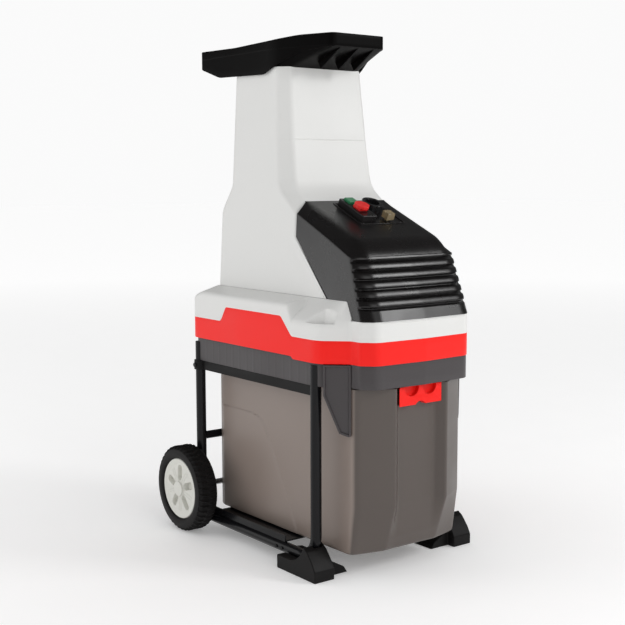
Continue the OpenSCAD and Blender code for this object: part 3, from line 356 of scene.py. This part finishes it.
z = np.unique(np.concatenate([np.arange(500, 924.1, 3.0), [787.0, 787.7, 788.3, 789.0, 924.0]]))
front = along(z, [500, 672, 675, 680, 690, 702, 720, 738, 788, 924],
              [148, 150, 160, 168, 178, 186, 190, 193, 200, 216], 7)
edge = along(z, [500, 672, 702, 788, 924], [94, 94, 92, 88, 82])
cheek = along(z, [500, 607, 649, 660, 672, 690, 711, 738, 788, 924],
              [47, 150, 151, 163, 181, 204, 219, 222, 225, 235], 3)
cheek_x = side_x(z)
back = along(z, [500, 645, 655, 688, 700, 924], [408, 408, 405, 382, 374, 374], 5)
zero = np.zeros_like(z)
half = np.stack([np.stack(pair, axis=-1) for pair in (
    (zero, front, z), (edge, front, z), (cheek_x, cheek, z), (cheek_x, back, z), (zero, back, z))], axis=1)
half = spread(eased(half, (6, 10, 9)), 14)
seam = (np.abs(z - 788) < 0.5)[:, None] & (half[..., 0] < edge[:, None] - 4) & (half[..., 1] < 260)
half[..., 1] += seam * 0.9
skin("chute_shell", both_halves(half), "feed_chute", wall=3.0, crease=40)

# %% [markdown]
# The inside of the chute ends on a level floor round the cutting gear, with an inner wall in front of it.

# %% Chute floor and inner wall
def slab(name, low, high, node=None, body="chassis", slot=None, round_edge=0.8, steps=3):
    """A block between two corners in millimetres, with its edges rounded by a Bevel."""
    low, high = np.asarray(low, float), np.asarray(high, float)
    corner = np.array([(x, y, zz) for zz in (0, 1) for y in (0, 1) for x in (0, 1)], float)
    mesh = bpy.data.meshes.new(name)
    mesh.from_pydata(place(low + corner * (high - low)).tolist(), [],
                     [(0, 2, 3, 1), (4, 5, 7, 6), (0, 1, 5, 4), (1, 3, 7, 5), (3, 2, 6, 7), (2, 0, 4, 6)])
    piece = dress(name, mesh, node, body, slot)
    soft = piece.modifiers.new("edges", "BEVEL")
    soft.width = round_edge * MM
    soft.segments = steps
    soft.harden_normals = True
    return piece


slab("chute_inner_wall", (-111, 216, 500), (111, 219, 688), slot="light_shell")
slab("chute_inner_wall_top", (-99, 216, 688), (99, 219, 745), slot="light_shell")
slab("chute_floor_left", (-122, 219, 499), (-86, 405, 503), slot="light_shell")
slab("chute_floor_right", (86, 219, 499), (122, 405, 503), slot="light_shell")
slab("chute_floor_back", (-86, 388, 499), (86, 405, 503), slot="light_shell")
slab("chute_floor_front", (-86, 219, 499), (86, 230, 503), slot="light_shell")

# %% [markdown]
# ## Motor cover
# A black hood: a leaning front with six louvre grooves that run round its corners (closed grooves here,
# where the dimensioned cover has open slots at its own pitch), a sloping top for the switches, and cut edges
# along the top. The levels follow the side profile from the toe over the brow to the chute. A groove is a
# smooth dip of the front, and each slat leans out a little towards its top.

# %% Cover
profile = eased(np.array([[0, -72.0, 467], [0, -15.5, 599], [0, 151.5, 672]]), (26,), 24)
run = np.concatenate([[0], np.cumsum(np.linalg.norm(np.diff(profile, axis=0), axis=1))])
station = np.arange(0, run[-1], 1.1)
station = np.append(station, run[-1])
yf = np.interp(station, run, profile[:, 1])
z = np.interp(station, run, profile[:, 2])
lift = np.interp(z, [467, 599, 672], [4.5, 0.5, 0.5])  # the toe is bowed: its middle stands out
xa = np.interp(z, [467, 599, 672], [107, 97.2, 94.3])
low_edge = np.interp(z, [467, 577], [-49, -12])
yb = np.where(z < 577, low_edge, np.interp(z, [577, 649, 672], [-12, 148, 151]))
xb = side_x(z) - np.clip(z - 649, 0, 23) * 0.93
joint = np.where(z < 500, np.interp(z, [467, 500], [-28, -6]), np.interp(z, [500, 607], [47, 150]))
joint = np.maximum(joint, yb + 0.6)
zero = np.zeros_like(z)
half = np.stack([np.stack(pair, axis=-1) for pair in (
    (zero, yf - lift * 0.2, z), (xa, yf + lift * 0.6, z), (xb, yb, z), (xb, joint, z))], axis=1)
half = spread(eased(half, (13, 7), 8), 5)
LOUVRE_LOW, LOUVRE_PITCH, LOUVRES = 489.0, 16.0, 6
GROOVES = LOUVRE_LOW + LOUVRE_PITCH * np.arange(LOUVRES)
near = np.abs(z[:, None] - GROOVES[None, :]).min(axis=1)
dip = 4.6 * np.clip(1.3 - near / 2.6, 0, 1) ** 0.7
share = ((z - LOUVRE_LOW) / LOUVRE_PITCH) % 1.0
slats = (z > LOUVRE_LOW) & (z < GROOVES[-1] + LOUVRE_PITCH / 2)
swell = np.where(slats, 2.4 * np.sin(np.pi * np.clip(share, 0, 1)) ** 0.6, 0)
fade = np.clip((half[..., 0] - xb[:, None]) / -9.0, 0, 1) ** 0.5 * (half[..., 1] < yb[:, None] + 2)
push = (swell[:, None] - dip[:, None]) * fade
toward_front = np.stack([half[..., 0] * 0.35 / 107.0, -np.ones_like(half[..., 0]), 0 * half[..., 0]],
                        axis=-1)
half = half + push[..., None] * toward_front / np.linalg.norm(toward_front, axis=-1, keepdims=True)
left = half[:, ::-1] * np.array([-1.0, 1, 1])
whole = np.concatenate([left[:, :-1], half], axis=1)
skin("cover_hood", whole, "motor_cover", ring=False, wall=2.5, rim=0.5, crease=38)

# %% [markdown]
# The switches stand on a base plate that is framed by a thin raised edge on the cover's slope.

# %% Edge of the switch panel
SLOPE = math.atan2(672.0 - 599.0, 151.0 + 15.0)


def on_slope(x, along_slope, lift):
    """A point on the cover's slope: `along_slope` mm up the slope from the panel's middle, `lift` mm off it."""
    y = 97 + along_slope * math.cos(SLOPE) - lift * math.sin(SLOPE)
    height = 599 + (97 + 15) * math.tan(SLOPE) + along_slope * math.sin(SLOPE) + lift * math.cos(SLOPE)
    return np.array([x, y, height])


def slope_bar(name, low, high, lift):
    """A thin bar lying on the slope between two corners (x, along the slope)."""
    corners = [on_slope(x, along_slope, up) for up in lift for x, along_slope in (
        (low[0], low[1]), (high[0], low[1]), (high[0], high[1]), (low[0], high[1]))]
    mesh = bpy.data.meshes.new(name)
    mesh.from_pydata(place(corners).tolist(), [], [(3, 2, 1, 0), (4, 5, 6, 7), (0, 1, 5, 4), (1, 2, 6, 5),
                                                   (2, 3, 7, 6), (3, 0, 4, 7)])
    piece = dress(name, mesh, None, "chassis", "black_shell")
    soft = piece.modifiers.new("edges", "BEVEL")
    soft.width = 0.5 * MM
    soft.segments = 2
    return piece


PANEL_LOW, PANEL_HIGH = (-41, -46), (65, 46)
EDGE_WIDE, EDGE_LIFT = 2.2, (-1, 1.6)
(low_x, low_s), (high_x, high_s) = PANEL_LOW, PANEL_HIGH
side_low, side_high = low_s + EDGE_WIDE + 0.2, high_s - EDGE_WIDE - 0.2  # the side bars end just short of the others
slope_bar("panel_edge_front", PANEL_LOW, (high_x, low_s + EDGE_WIDE), EDGE_LIFT)
slope_bar("panel_edge_rear", (low_x, high_s - EDGE_WIDE), PANEL_HIGH, EDGE_LIFT)
slope_bar("panel_edge_left", (low_x, side_low), (low_x + EDGE_WIDE, side_high), EDGE_LIFT)
slope_bar("panel_edge_right", (high_x - EDGE_WIDE, side_low), (high_x, side_high), EDGE_LIFT)

# %% [markdown]
# ## Housing walls
# The red band, the dark skirt under it and the grey deck over it are strips that follow one outline. Each
# strip is a short upright profile carried along the outline, with its two long edges eased inwards.

# %% Outline of the housing, its strips, and the red band
OUTLINE = np.array([[0, -75, 0], [107, -69.5, 0], [129, -47, 0], [130, -23, 0], [167, 12, 0], [173, 30, 0],
                    [173, 429, 0], [153, 449, 0], [0, 449, 0]], float)
walk = spread(eased(OUTLINE, (10, 5, 6, 8, 8, 12, 12))[None], 2.5)[0]


def inset(path, size):
    """Moves an open path in plan to its inner side by `size` mm, along the mean normal of its neighbours."""
    ahead = np.gradient(path[:, :2], axis=0)
    side = np.stack([-ahead[:, 1], ahead[:, 0]], axis=-1)
    side /= np.linalg.norm(side, axis=1, keepdims=True)
    side[[0, -1], 0] = 0
    return path + np.concatenate([side * size, np.zeros((len(path), 1))], axis=1)


def strip(name, path, low, high, ease=1.4, node=None, body="chassis", slot=None, wall=2.6, steps=3, fill=1):
    """A wall from `low` to `high` mm above the path, whose edges turn in by `ease` with a quarter circle."""
    turn = np.linspace(0, np.pi / 2, steps + 1)
    inwards = np.concatenate([ease * (1 - np.sin(turn)), np.zeros(fill), ease * (1 - np.cos(turn))])
    heights = np.concatenate([ease * (1 - np.cos(turn)), np.full(fill, np.nan), ease * np.sin(turn)])
    low, high = np.broadcast_to(low, len(path)), np.broadcast_to(high, len(path))
    levels = []
    for k, (move, rise) in enumerate(zip(inwards, heights)):
        ring = inset(path, move)
        if k <= steps:
            ring[:, 2] = low + rise
        elif k <= steps + fill:
            share = (k - steps) / (fill + 1)
            ring[:, 2] = (low + ease) * (1 - share) + (high - ease) * share
        else:
            ring[:, 2] = high - ease + rise
        levels.append(ring)
    return skin(name, both_halves(np.array(levels)), node, body, slot, wall=wall, rim=0.0)


on_side = walk[:, 0] > 172.5
red_low = blurred(np.where(np.where(on_side, walk[:, 1] > 95, walk[:, 1] > 300), 395.0, 390.0), 3)
crown = np.interp(walk[:, 1], [94, 127, 311, 315, 327, 331], [432.5, 467, 467, 460, 441, 438])
red_high = np.where(on_side, crown, np.where(walk[:, 1] > 300, 438.0, 432.5))
red_high = blurred(red_high, 3)
strip("red_band_shell", walk, red_low, red_high, 1.6, "red_band", fill=2)

# %% [markdown]
# The dark skirt stands a few millimetres further in. A faint row of upright ribs runs along its sides. It
# stands for the whole lower housing, so the shelf and the motor deck inside it are not drawn here.

# %% Skirt, its ribs and the corner gussets
ribbed = (np.abs((walk[:, 1] - 20) % 24 - 12) < 1.6) & (walk[:, 0] > 172)
depth_in = np.interp(walk[:, 1], [-23, -20, 12, 22], [1.2, 8.0, 8.0, 6.0]) - 0.4 * ribbed
strip("skirt_shell", inset(walk, depth_in[:, None]), 348.0, 396.0, 1.4, "base_housing", fill=2)

# %% Gussets that hang from the skirt beside the box
def gusset(side):
    """A plate on the corner's diagonal between the frame tube and the box. `net` holds its outline as distance
    along the diagonal and height; a raised rim 4 mm wide runs round a flat panel."""
    net = np.array([[0, 389], [0, 334], [28, 267], [45, 261], [49, 263], [49, 389]], float)
    ahead = np.roll(net, -1, axis=0) - net
    ahead /= np.linalg.norm(ahead, axis=1, keepdims=True)
    inner = np.stack([-ahead[:, 1], ahead[:, 0]], axis=-1)
    mitre = inner + np.roll(inner, 1, axis=0)
    mitre /= 1 + (inner * np.roll(inner, 1, axis=0)).sum(axis=1, keepdims=True)
    middle = np.tile(net.mean(axis=0), (len(net), 1))
    levels = []
    for move, out in ((0, -6.0), (0, 2.2), (0.6, 3.0), (3.4, 3.0), (4.2, 0.4)):
        levels.append(np.concatenate([net + mitre * move, np.full((len(net), 1), out)], axis=1))
    levels.append(np.concatenate([net * 0.3 + middle * 0.7, np.full((len(net), 1), 0.4)], axis=1))
    levels.append(np.concatenate([middle, np.full((len(net), 1), 0.4)], axis=1))
    grid = np.array(levels)
    start, finish_at = np.array([164.0, 11.0]), np.array([129.5, -22.0])
    run_dir = (finish_at - start) / np.linalg.norm(finish_at - start)
    face = np.array([-run_dir[1], run_dir[0]])
    plan = start + grid[..., :1] * run_dir + grid[..., 2:] * face
    shape = np.concatenate([plan, grid[..., 1:2]], axis=-1) * np.array([side, 1.0, 1.0])
    name = "gusset_right" if side > 0 else "gusset_left"
    return skin(name, shape, slot="dark_housing", wall=0.0, rim=0.0, crease=30)


for side in (-1, 1):
    gusset(side)

# %% [markdown]
# ## Deck
# The grey deck climbs from the red band to a ridge along the foot of the chute and the cover. At the two
# front corners it drops to a low shoulder with a finger scoop for lifting the machine.

# %% Deck
x, y = walk[:, 0], walk[:, 1]
top = np.where(y < -24, 467.0, np.where(y < 101, np.interp(y, [-24, -10, 101], [464, 460, 460]), 489.0))
top = np.where(y > 398, np.interp(y, [402, 441, 449], [489, 476, 474]), top)
top = blurred(top, 5)
ridge_z = np.where(y < -24, 467.0, np.interp(y, [-24, -8, 449], [468, 500, 500]))
chute_foot = np.interp(y, [-24, -8, 400, 449], [127.5, 126.4, 126.4, 122])
ridge_x = np.where(y < -24, x - 1.5, np.minimum(x - 2, chute_foot))
ridge_x = np.clip(ridge_x, 0, None)
ridge_y = np.where(y < -24, y + 2.0, y)
ridge_y = np.minimum(ridge_y, 408.5)
ridge = np.stack([ridge_x, ridge_y, ridge_z], axis=-1)
wall_top = np.stack([x, y, top], axis=-1)
wall_low = np.stack([x, y, red_high - 1.0], axis=-1)
tucked = ridge - np.array([3.0, 0, 0]) * (x > 3)[:, None] - np.array([0, 0, 4.0])
net = np.stack([wall_low, wall_top, ridge, tucked], axis=1)
deck = eased(net, (9, 1.2), 8)
deck = np.swapaxes(spread(deck, 2.0), 0, 1)
slope_x, slope_y = deck[..., 0], deck[..., 1]
pocket = np.interp(slope_y, [-8, 0, 29, 58], [165, 141, 144, 172])
inside = np.clip((slope_x - pocket) / 3, 0, 1) * ((slope_y > -8) & (slope_y < 58) & (slope_x > 0))
SCOOP_FLOOR = 460.5
deck[..., 2] = np.minimum(deck[..., 2], deck[..., 2] * (1 - inside) + SCOOP_FLOOR * inside)
skin("deck_shell", both_halves(deck), "upper_housing", wall=2.2, rim=0.0, crease=34)

# %% [markdown]
# ## Funnel
# A black rim with deep skirts at its sides and a tray that slopes down into the chute. The rim is a wall
# along its outline whose upper and lower edges both wave; the tray joins that outline to the chute's mouth.

# %% Funnel rim and tray
RIM = np.array([[0, 113, 0], [61, 113, 0], [88, 184, 0], [109, 243, 0], [109, 394, 0], [105, 497, 0], [94,
                                                                                                       506,
                                                                                                       0],
                [0, 506, 0]], float)
MOUTH = np.array([[0, 219.5, 0], [79, 219.5, 0], [90, 229, 0], [98, 238, 0], [98, 300, 0], [98, 364, 0],
                  [92, 370, 0],
                  [0, 370, 0]], float)
pair = np.stack([eased(RIM, (9, 14, 20, 30, 8, 5)), eased(MOUTH, (9, 14, 20, 30, 8, 5))])
pair = spread(pair, 6)
rim_walk, mouth_walk = pair
rim_top = blurred(np.interp(rim_walk[:, 1], [113, 184, 250, 369, 487, 506], [979, 979, 973, 970, 973,
                                                                             973.5]), 5)
rim_low = blurred(np.interp(rim_walk[:, 1], [113, 120, 184, 266, 426, 506], [955, 954, 947, 911, 916, 940]),
                  3)
strip("funnel_rim", rim_walk, rim_low, rim_top, 1.2, "funnel", wall=2.8, fill=3)
inner_rim = inset(rim_walk, 2.0)
inner_rim[:, 2] = np.minimum(958.0, rim_top - 8)
levels = []
for share, drop in ((0, 0), (0.03, 1.0), (0.5, 0), (0.94, 0.5)):
    ring = inner_rim * (1 - share) + (mouth_walk + np.array([0, 0, 925.5])) * share
    ring[:, 2] -= drop
    levels.append(ring)
spigot = mouth_walk.copy()
spigot[:, 2] = 923.0
levels.append(spigot.copy())
spigot[:, 2] = 911.0
levels.append(spigot)
skin("funnel_tray", both_halves(np.array(levels)), slot="black_shell", wall=2.4, rim=0.4, crease=25,
     inward=False)


def tray_rib(x, name):
    """A thin three-cornered web under the front of the tray."""
    corner = np.array([[0, 118, 953], [0, 188, 938], [0, 176, 919], [0, 150, 934]], float)
    mesh = bpy.data.meshes.new(name)
    both = np.concatenate([corner + [x - 1.2, 0, 0], corner + [x + 1.2, 0, 0]])
    mesh.from_pydata(place(both).tolist(), [], [(0, 1, 2, 3), (7, 6, 5, 4), (1, 0, 4, 5), (2, 1, 5, 6),
                                                (3, 2, 6, 7), (0, 3, 7, 4)])
    return dress(name, mesh, None, "chassis", "black_shell")


for k, x_rib in enumerate((-40, 2, 40)):
    tray_rib(x_rib, f"tray_rib_{k + 1}")
for name in ("funnel_rim", "funnel_tray", "tray_rib_1", "tray_rib_2", "tray_rib_3"):
    bpy.data.objects[name].data.materials[0] = FINISH["funnel_black"]

# %% [markdown]
# ## Collection box
# A grey-brown moulded bin. Its front carries a tall recess for the latch between two ridges, slants back
# near the ground, and its sides have a shallow raised panel. The plastic is opaque here, though the real one
# may let some light through; its finish paints light onto the side walls, so they come out lighter than the front.

# %% Box
z = np.concatenate([[43, 43.3, 44.2, 46, 49], np.arange(52, 343, 2.5), [346]])
low = np.clip((131 - z) / 88, 0, 1)
shrink = np.select([z < 43.1, z < 43.5, z < 44.5, z < 46.5], [7.0, 4.2, 2.0, 0.6], 0.0)
ridge_front = -67 + 31 * low
recess_front = np.where(z < 75, -45 + (75 - z) * 0.12, -50 + np.clip((131 - z) / 56, 0, 1) * 5)
recess_front = np.maximum(recess_front, ridge_front + 1.0)
crease_front = -50 + 22 * low
corner_front = -31 + 11 * low
zero = np.zeros_like(z)
half = np.stack([np.stack(pair, axis=-1) for pair in (
    (zero, recess_front + shrink, z), (zero + 44, recess_front + shrink, z), (zero + 61,
                                                                              ridge_front + shrink, z),
    (zero + 94, crease_front + shrink, z), (127.5 - shrink, corner_front + shrink, z),
    (127.5 - shrink, 413 - shrink, z), (zero, 413 - shrink, z))], axis=1)
half = spread(eased(half, (5, 4, 26, 12, 20), 7), 3)
line = np.interp(half[..., 2], [43, 174, 222, 239, 251, 257, 262], [135, 209, 236, 246, 262, 300, 470])
raised = np.clip((half[..., 1] - line) / 1.6, 0, 1) * (half[..., 0] > 126)
raised *= np.clip((257 - half[..., 2]) / 3, 0, 1)
half[..., 0] += 1.8 * raised * np.clip((398 - half[..., 1]) / 8, 0, 1)
skin("bin_shell", both_halves(half), "collection_box", body="box", wall=2.5, rim=0.5, caps=(0,), crease=30)

# %% [markdown]
# ## Wheels
# The tyre is a profile turned round the axle whose outer radius drops into a groove at every lug; the lugs
# lean across the tread in two staggered rows. The hub is a shallow dish with five rounded windows.

# %% Tyre and hub
AXLE = np.array([0, 423.5, 87.5])
OUT, IN = 221.0, 175.0


def turned(profile, steps):
    """A profile of (x, radius) pairs turned round the axle as a grid of levels and stations."""
    turn = np.linspace(0, 2 * np.pi, steps, endpoint=False)
    profile = np.asarray(profile, float)
    return profile[:, None, 0], profile[:, None, 1], turn[None, :]


def on_axle(x, radius, turn):
    """Points of a turned surface in millimetres."""
    return np.stack(np.broadcast_arrays(x, AXLE[1] + radius * np.cos(turn),
                                        AXLE[2] + radius * np.sin(turn)), axis=-1)


def wheel(side):
    name = "right" if side > 0 else "left"
    outline = eased(np.array([[OUT - 7, 61], [OUT - 1.5, 64], [OUT, 70], [OUT - 1, 79], [OUT - 4, 84.5],
                              [OUT - 8, 87.2],
                              [IN + 8, 87.2], [IN + 4, 84.5], [IN + 1, 79], [IN, 70], [IN + 3, 62], [IN + 9,
                                                                                                     60],
                              [OUT - 7, 60]], float), 1.6, 3)
    outline = spread(outline[None], 2.2)[0]
    x, radius, turn = turned(outline, 400)
    across = (x - (OUT + IN) / 2) / ((OUT - IN) / 2)
    lug = (turn * 44 / (2 * np.pi) + 0.5 * (across > 0) + 0.35 * np.abs(across)) % 1.0
    cut = np.clip((0.5 - np.abs(lug - 0.5) - 0.33) * -9 + 1.0, 0, 1) * np.clip((radius - 80.5) / 3.0, 0, 1)
    seam = np.clip(1.4 - np.abs(across) * 12, 0, 1) * np.clip((radius - 86) / 1.0, 0, 1)
    radius = radius - 3.4 * np.maximum(cut, seam)
    tyre = on_axle(side * x, radius, turn)
    skin(f"tyre_{name}_lugs", tyre, f"tyre_{name}", body=f"wheel_{name}", wall=0.0, rim=0.0, crease=28)

    radii = np.concatenate([[9.0, 12], np.arange(15, 49, 1.2), [50, 53, 56, 58, 60, 61.2, 61.4]])
    face = OUT - np.interp(radii, [9, 15, 17, 50, 57, 60, 61.2, 61.4], [3, 3, 5, 6.5, 4, 4, 5.5, 14])
    x, radius, turn = turned(np.stack([face, radii], axis=-1), 360)
    fifth = (turn - np.pi / 2 + np.pi / 5) % (2 * np.pi / 5) - np.pi / 5
    along_slot = np.clip(radius * np.cos(fifth), 24.5, 41)
    away = np.hypot(radius * np.cos(fifth) - along_slot, radius * np.sin(fifth))
    depth = 9.0 * np.clip((7.6 - away) / 1.5, 0, 1)
    rib = 1.0 * np.clip(1.5 - np.abs(np.abs(radius * np.sin(np.abs(fifth) - np.pi / 5)) - 3.2) / 0.8, 0,
                        1) * (
        (radius > 18) & (radius < 46))
    dish = on_axle(side * (x - depth + rib * (depth < 0.1)), radius, turn)
    skin(f"hub_{name}_dish", dish, f"hub_{name}", body=f"wheel_{name}", wall=3.0, rim=0.0, crease=30)


for side in (-1, 1):
    wheel(side)

# %% [markdown]
# ## Rounded copies
# Small moulded parts keep the dimensioned shape and only need their edges rounded. A copy of the node is
# welded, its flat triangles are joined into whole faces, and a Bevel rounds every edge by the same small
# radius.

# %% A copy of a node with rounded edges
def rounded(node, radius, steps=3, sharp=30.0):
    """The node's mesh, welded, with every edge sharper than `sharp` degrees rounded by `radius` mm."""
    source = nodes[node]
    mesh = source.data.copy()
    mesh.name = node + "_round"
    shape = bmesh.new()
    shape.from_mesh(mesh)
    bmesh.ops.remove_doubles(shape, verts=shape.verts, dist=0.01 * MM)
    bmesh.ops.dissolve_limit(shape, angle_limit=math.radians(0.6), verts=shape.verts, edges=shape.edges)
    shape.to_mesh(mesh)
    shape.free()
    mesh.materials.clear()
    piece = dress(node + "_round", mesh, node, source["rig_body"], SLOT[node])
    soft = piece.modifiers.new("edges", "BEVEL")
    soft.width = radius * MM
    soft.segments = steps
    soft.limit_method = "ANGLE"
    soft.angle_limit = math.radians(sharp)
    soft.use_clamp_overlap = True
    soft.harden_normals = True
    return piece


for node, radius in (
    ("foot_left", 3.0), ("foot_right", 3.0), ("box_latch", 2.0), ("switch_block", 1.5), ("start_button",
                                                                                         1.2),
    ("stop_button", 1.5), ("mains_inlet", 1.0), ("reset_cap", 1.5), ("adjuster_knob", 1.5), ("strap_left",
                                                                                             0.8),
    ("strap_right", 0.8), ("switch_plate", 0.6),
):
    rounded(node, radius)

# %% [markdown]
# ## Floor and light
# A pale floor that glows a little, more so further out, and three soft square lights: a key from the front
# right, a broad one from the front and a broad one from behind on the left. The surround is set apart for
# each kind of ray: bright where the camera sees it, dim in reflections and in between for the rest. That
# keeps the background pale without washing out the black parts, and it is a choice for the picture, not a
# real studio.

# %% Floor and lights
sheet = bpy.data.meshes.new("floor")
sheet.from_pydata([(-30, -30, 0), (30, -30, 0), (30, 30, 0), (-30, 30, 0)], [], [(0, 1, 2, 3)])
floor = bpy.data.objects.new("floor", sheet)
bpy.context.scene.collection.objects.link(floor)
paper = finish("floor_paper", (0.95, 0.95, 0.95), 0.8, grain=300, depth=0.01, drift=0.004, specular=0.1)
glow = paper.node_tree.nodes["Principled BSDF"]
glow.inputs["Emission Color"].default_value = (1, 1, 1, 1)
around = paper.node_tree.nodes.new("ShaderNodeTexCoord")
near_machine = paper.node_tree.nodes.new("ShaderNodeTexGradient")
near_machine.gradient_type = "SPHERICAL"
shrink = paper.node_tree.nodes.new("ShaderNodeMapping")
shrink.inputs["Scale"].default_value = (0.16, 0.16, 0.16)
lift = paper.node_tree.nodes.new("ShaderNodeMapRange")
lift.inputs["To Min"].default_value = 0.44
lift.inputs["To Max"].default_value = 0.17
paper.node_tree.links.new(around.outputs["Object"], shrink.inputs["Vector"])
paper.node_tree.links.new(shrink.outputs["Vector"], near_machine.inputs["Vector"])
paper.node_tree.links.new(near_machine.outputs["Fac"], lift.inputs["Value"])
paper.node_tree.links.new(lift.outputs["Result"], glow.inputs["Emission Strength"])
floor.data.materials.append(paper)

world = bpy.data.worlds.new("studio")
bpy.context.scene.world = world
world.use_nodes = True
sky = world.node_tree.nodes["Background"]
sky.inputs["Color"].default_value = (1, 1, 1, 1)
rays = world.node_tree.nodes.new("ShaderNodeLightPath")


def by_ray(tree, rays, seen, mirrored, other):
    """A value that is `seen` for the camera, `mirrored` for glossy rays and `other` for the rest."""
    glossy = tree.nodes.new("ShaderNodeMix")
    glossy.inputs["A"].default_value = other
    glossy.inputs["B"].default_value = mirrored
    tree.links.new(rays.outputs["Is Glossy Ray"], glossy.inputs["Factor"])
    direct = tree.nodes.new("ShaderNodeMix")
    direct.inputs["B"].default_value = seen
    tree.links.new(glossy.outputs["Result"], direct.inputs["A"])
    tree.links.new(rays.outputs["Is Camera Ray"], direct.inputs["Factor"])
    return direct.outputs["Result"]


world.node_tree.links.new(by_ray(world.node_tree, rays, 0.96, 0.1, 0.58), sky.inputs["Strength"])
bpy.context.scene.view_settings.view_transform = "Standard"


def soft_light(name, place, target, size, power):
    """A square area light at `place` metres, `size` metres wide, turned towards `target`."""
    lamp = bpy.data.lights.new(name, "AREA")
    lamp.size = size
    lamp.energy = power
    thing = bpy.data.objects.new(name, lamp)
    thing.location = place
    thing.rotation_euler = (Vector(target) - Vector(place)).to_track_quat("-Z", "Y").to_euler()
    bpy.context.scene.collection.objects.link(thing)
    return thing


soft_light("key", (1.9, -2.4, 2.0), (0, 0, 0.5), 0.9, 30)
soft_light("front", (-0.3, -3.4, 1.6), (0, 0, 0.5), 2.0, 17)
soft_light("left", (-2.6, 1.9, 1.3), (0, 0, 0.5), 2.4, 24)
print("lights", 3)
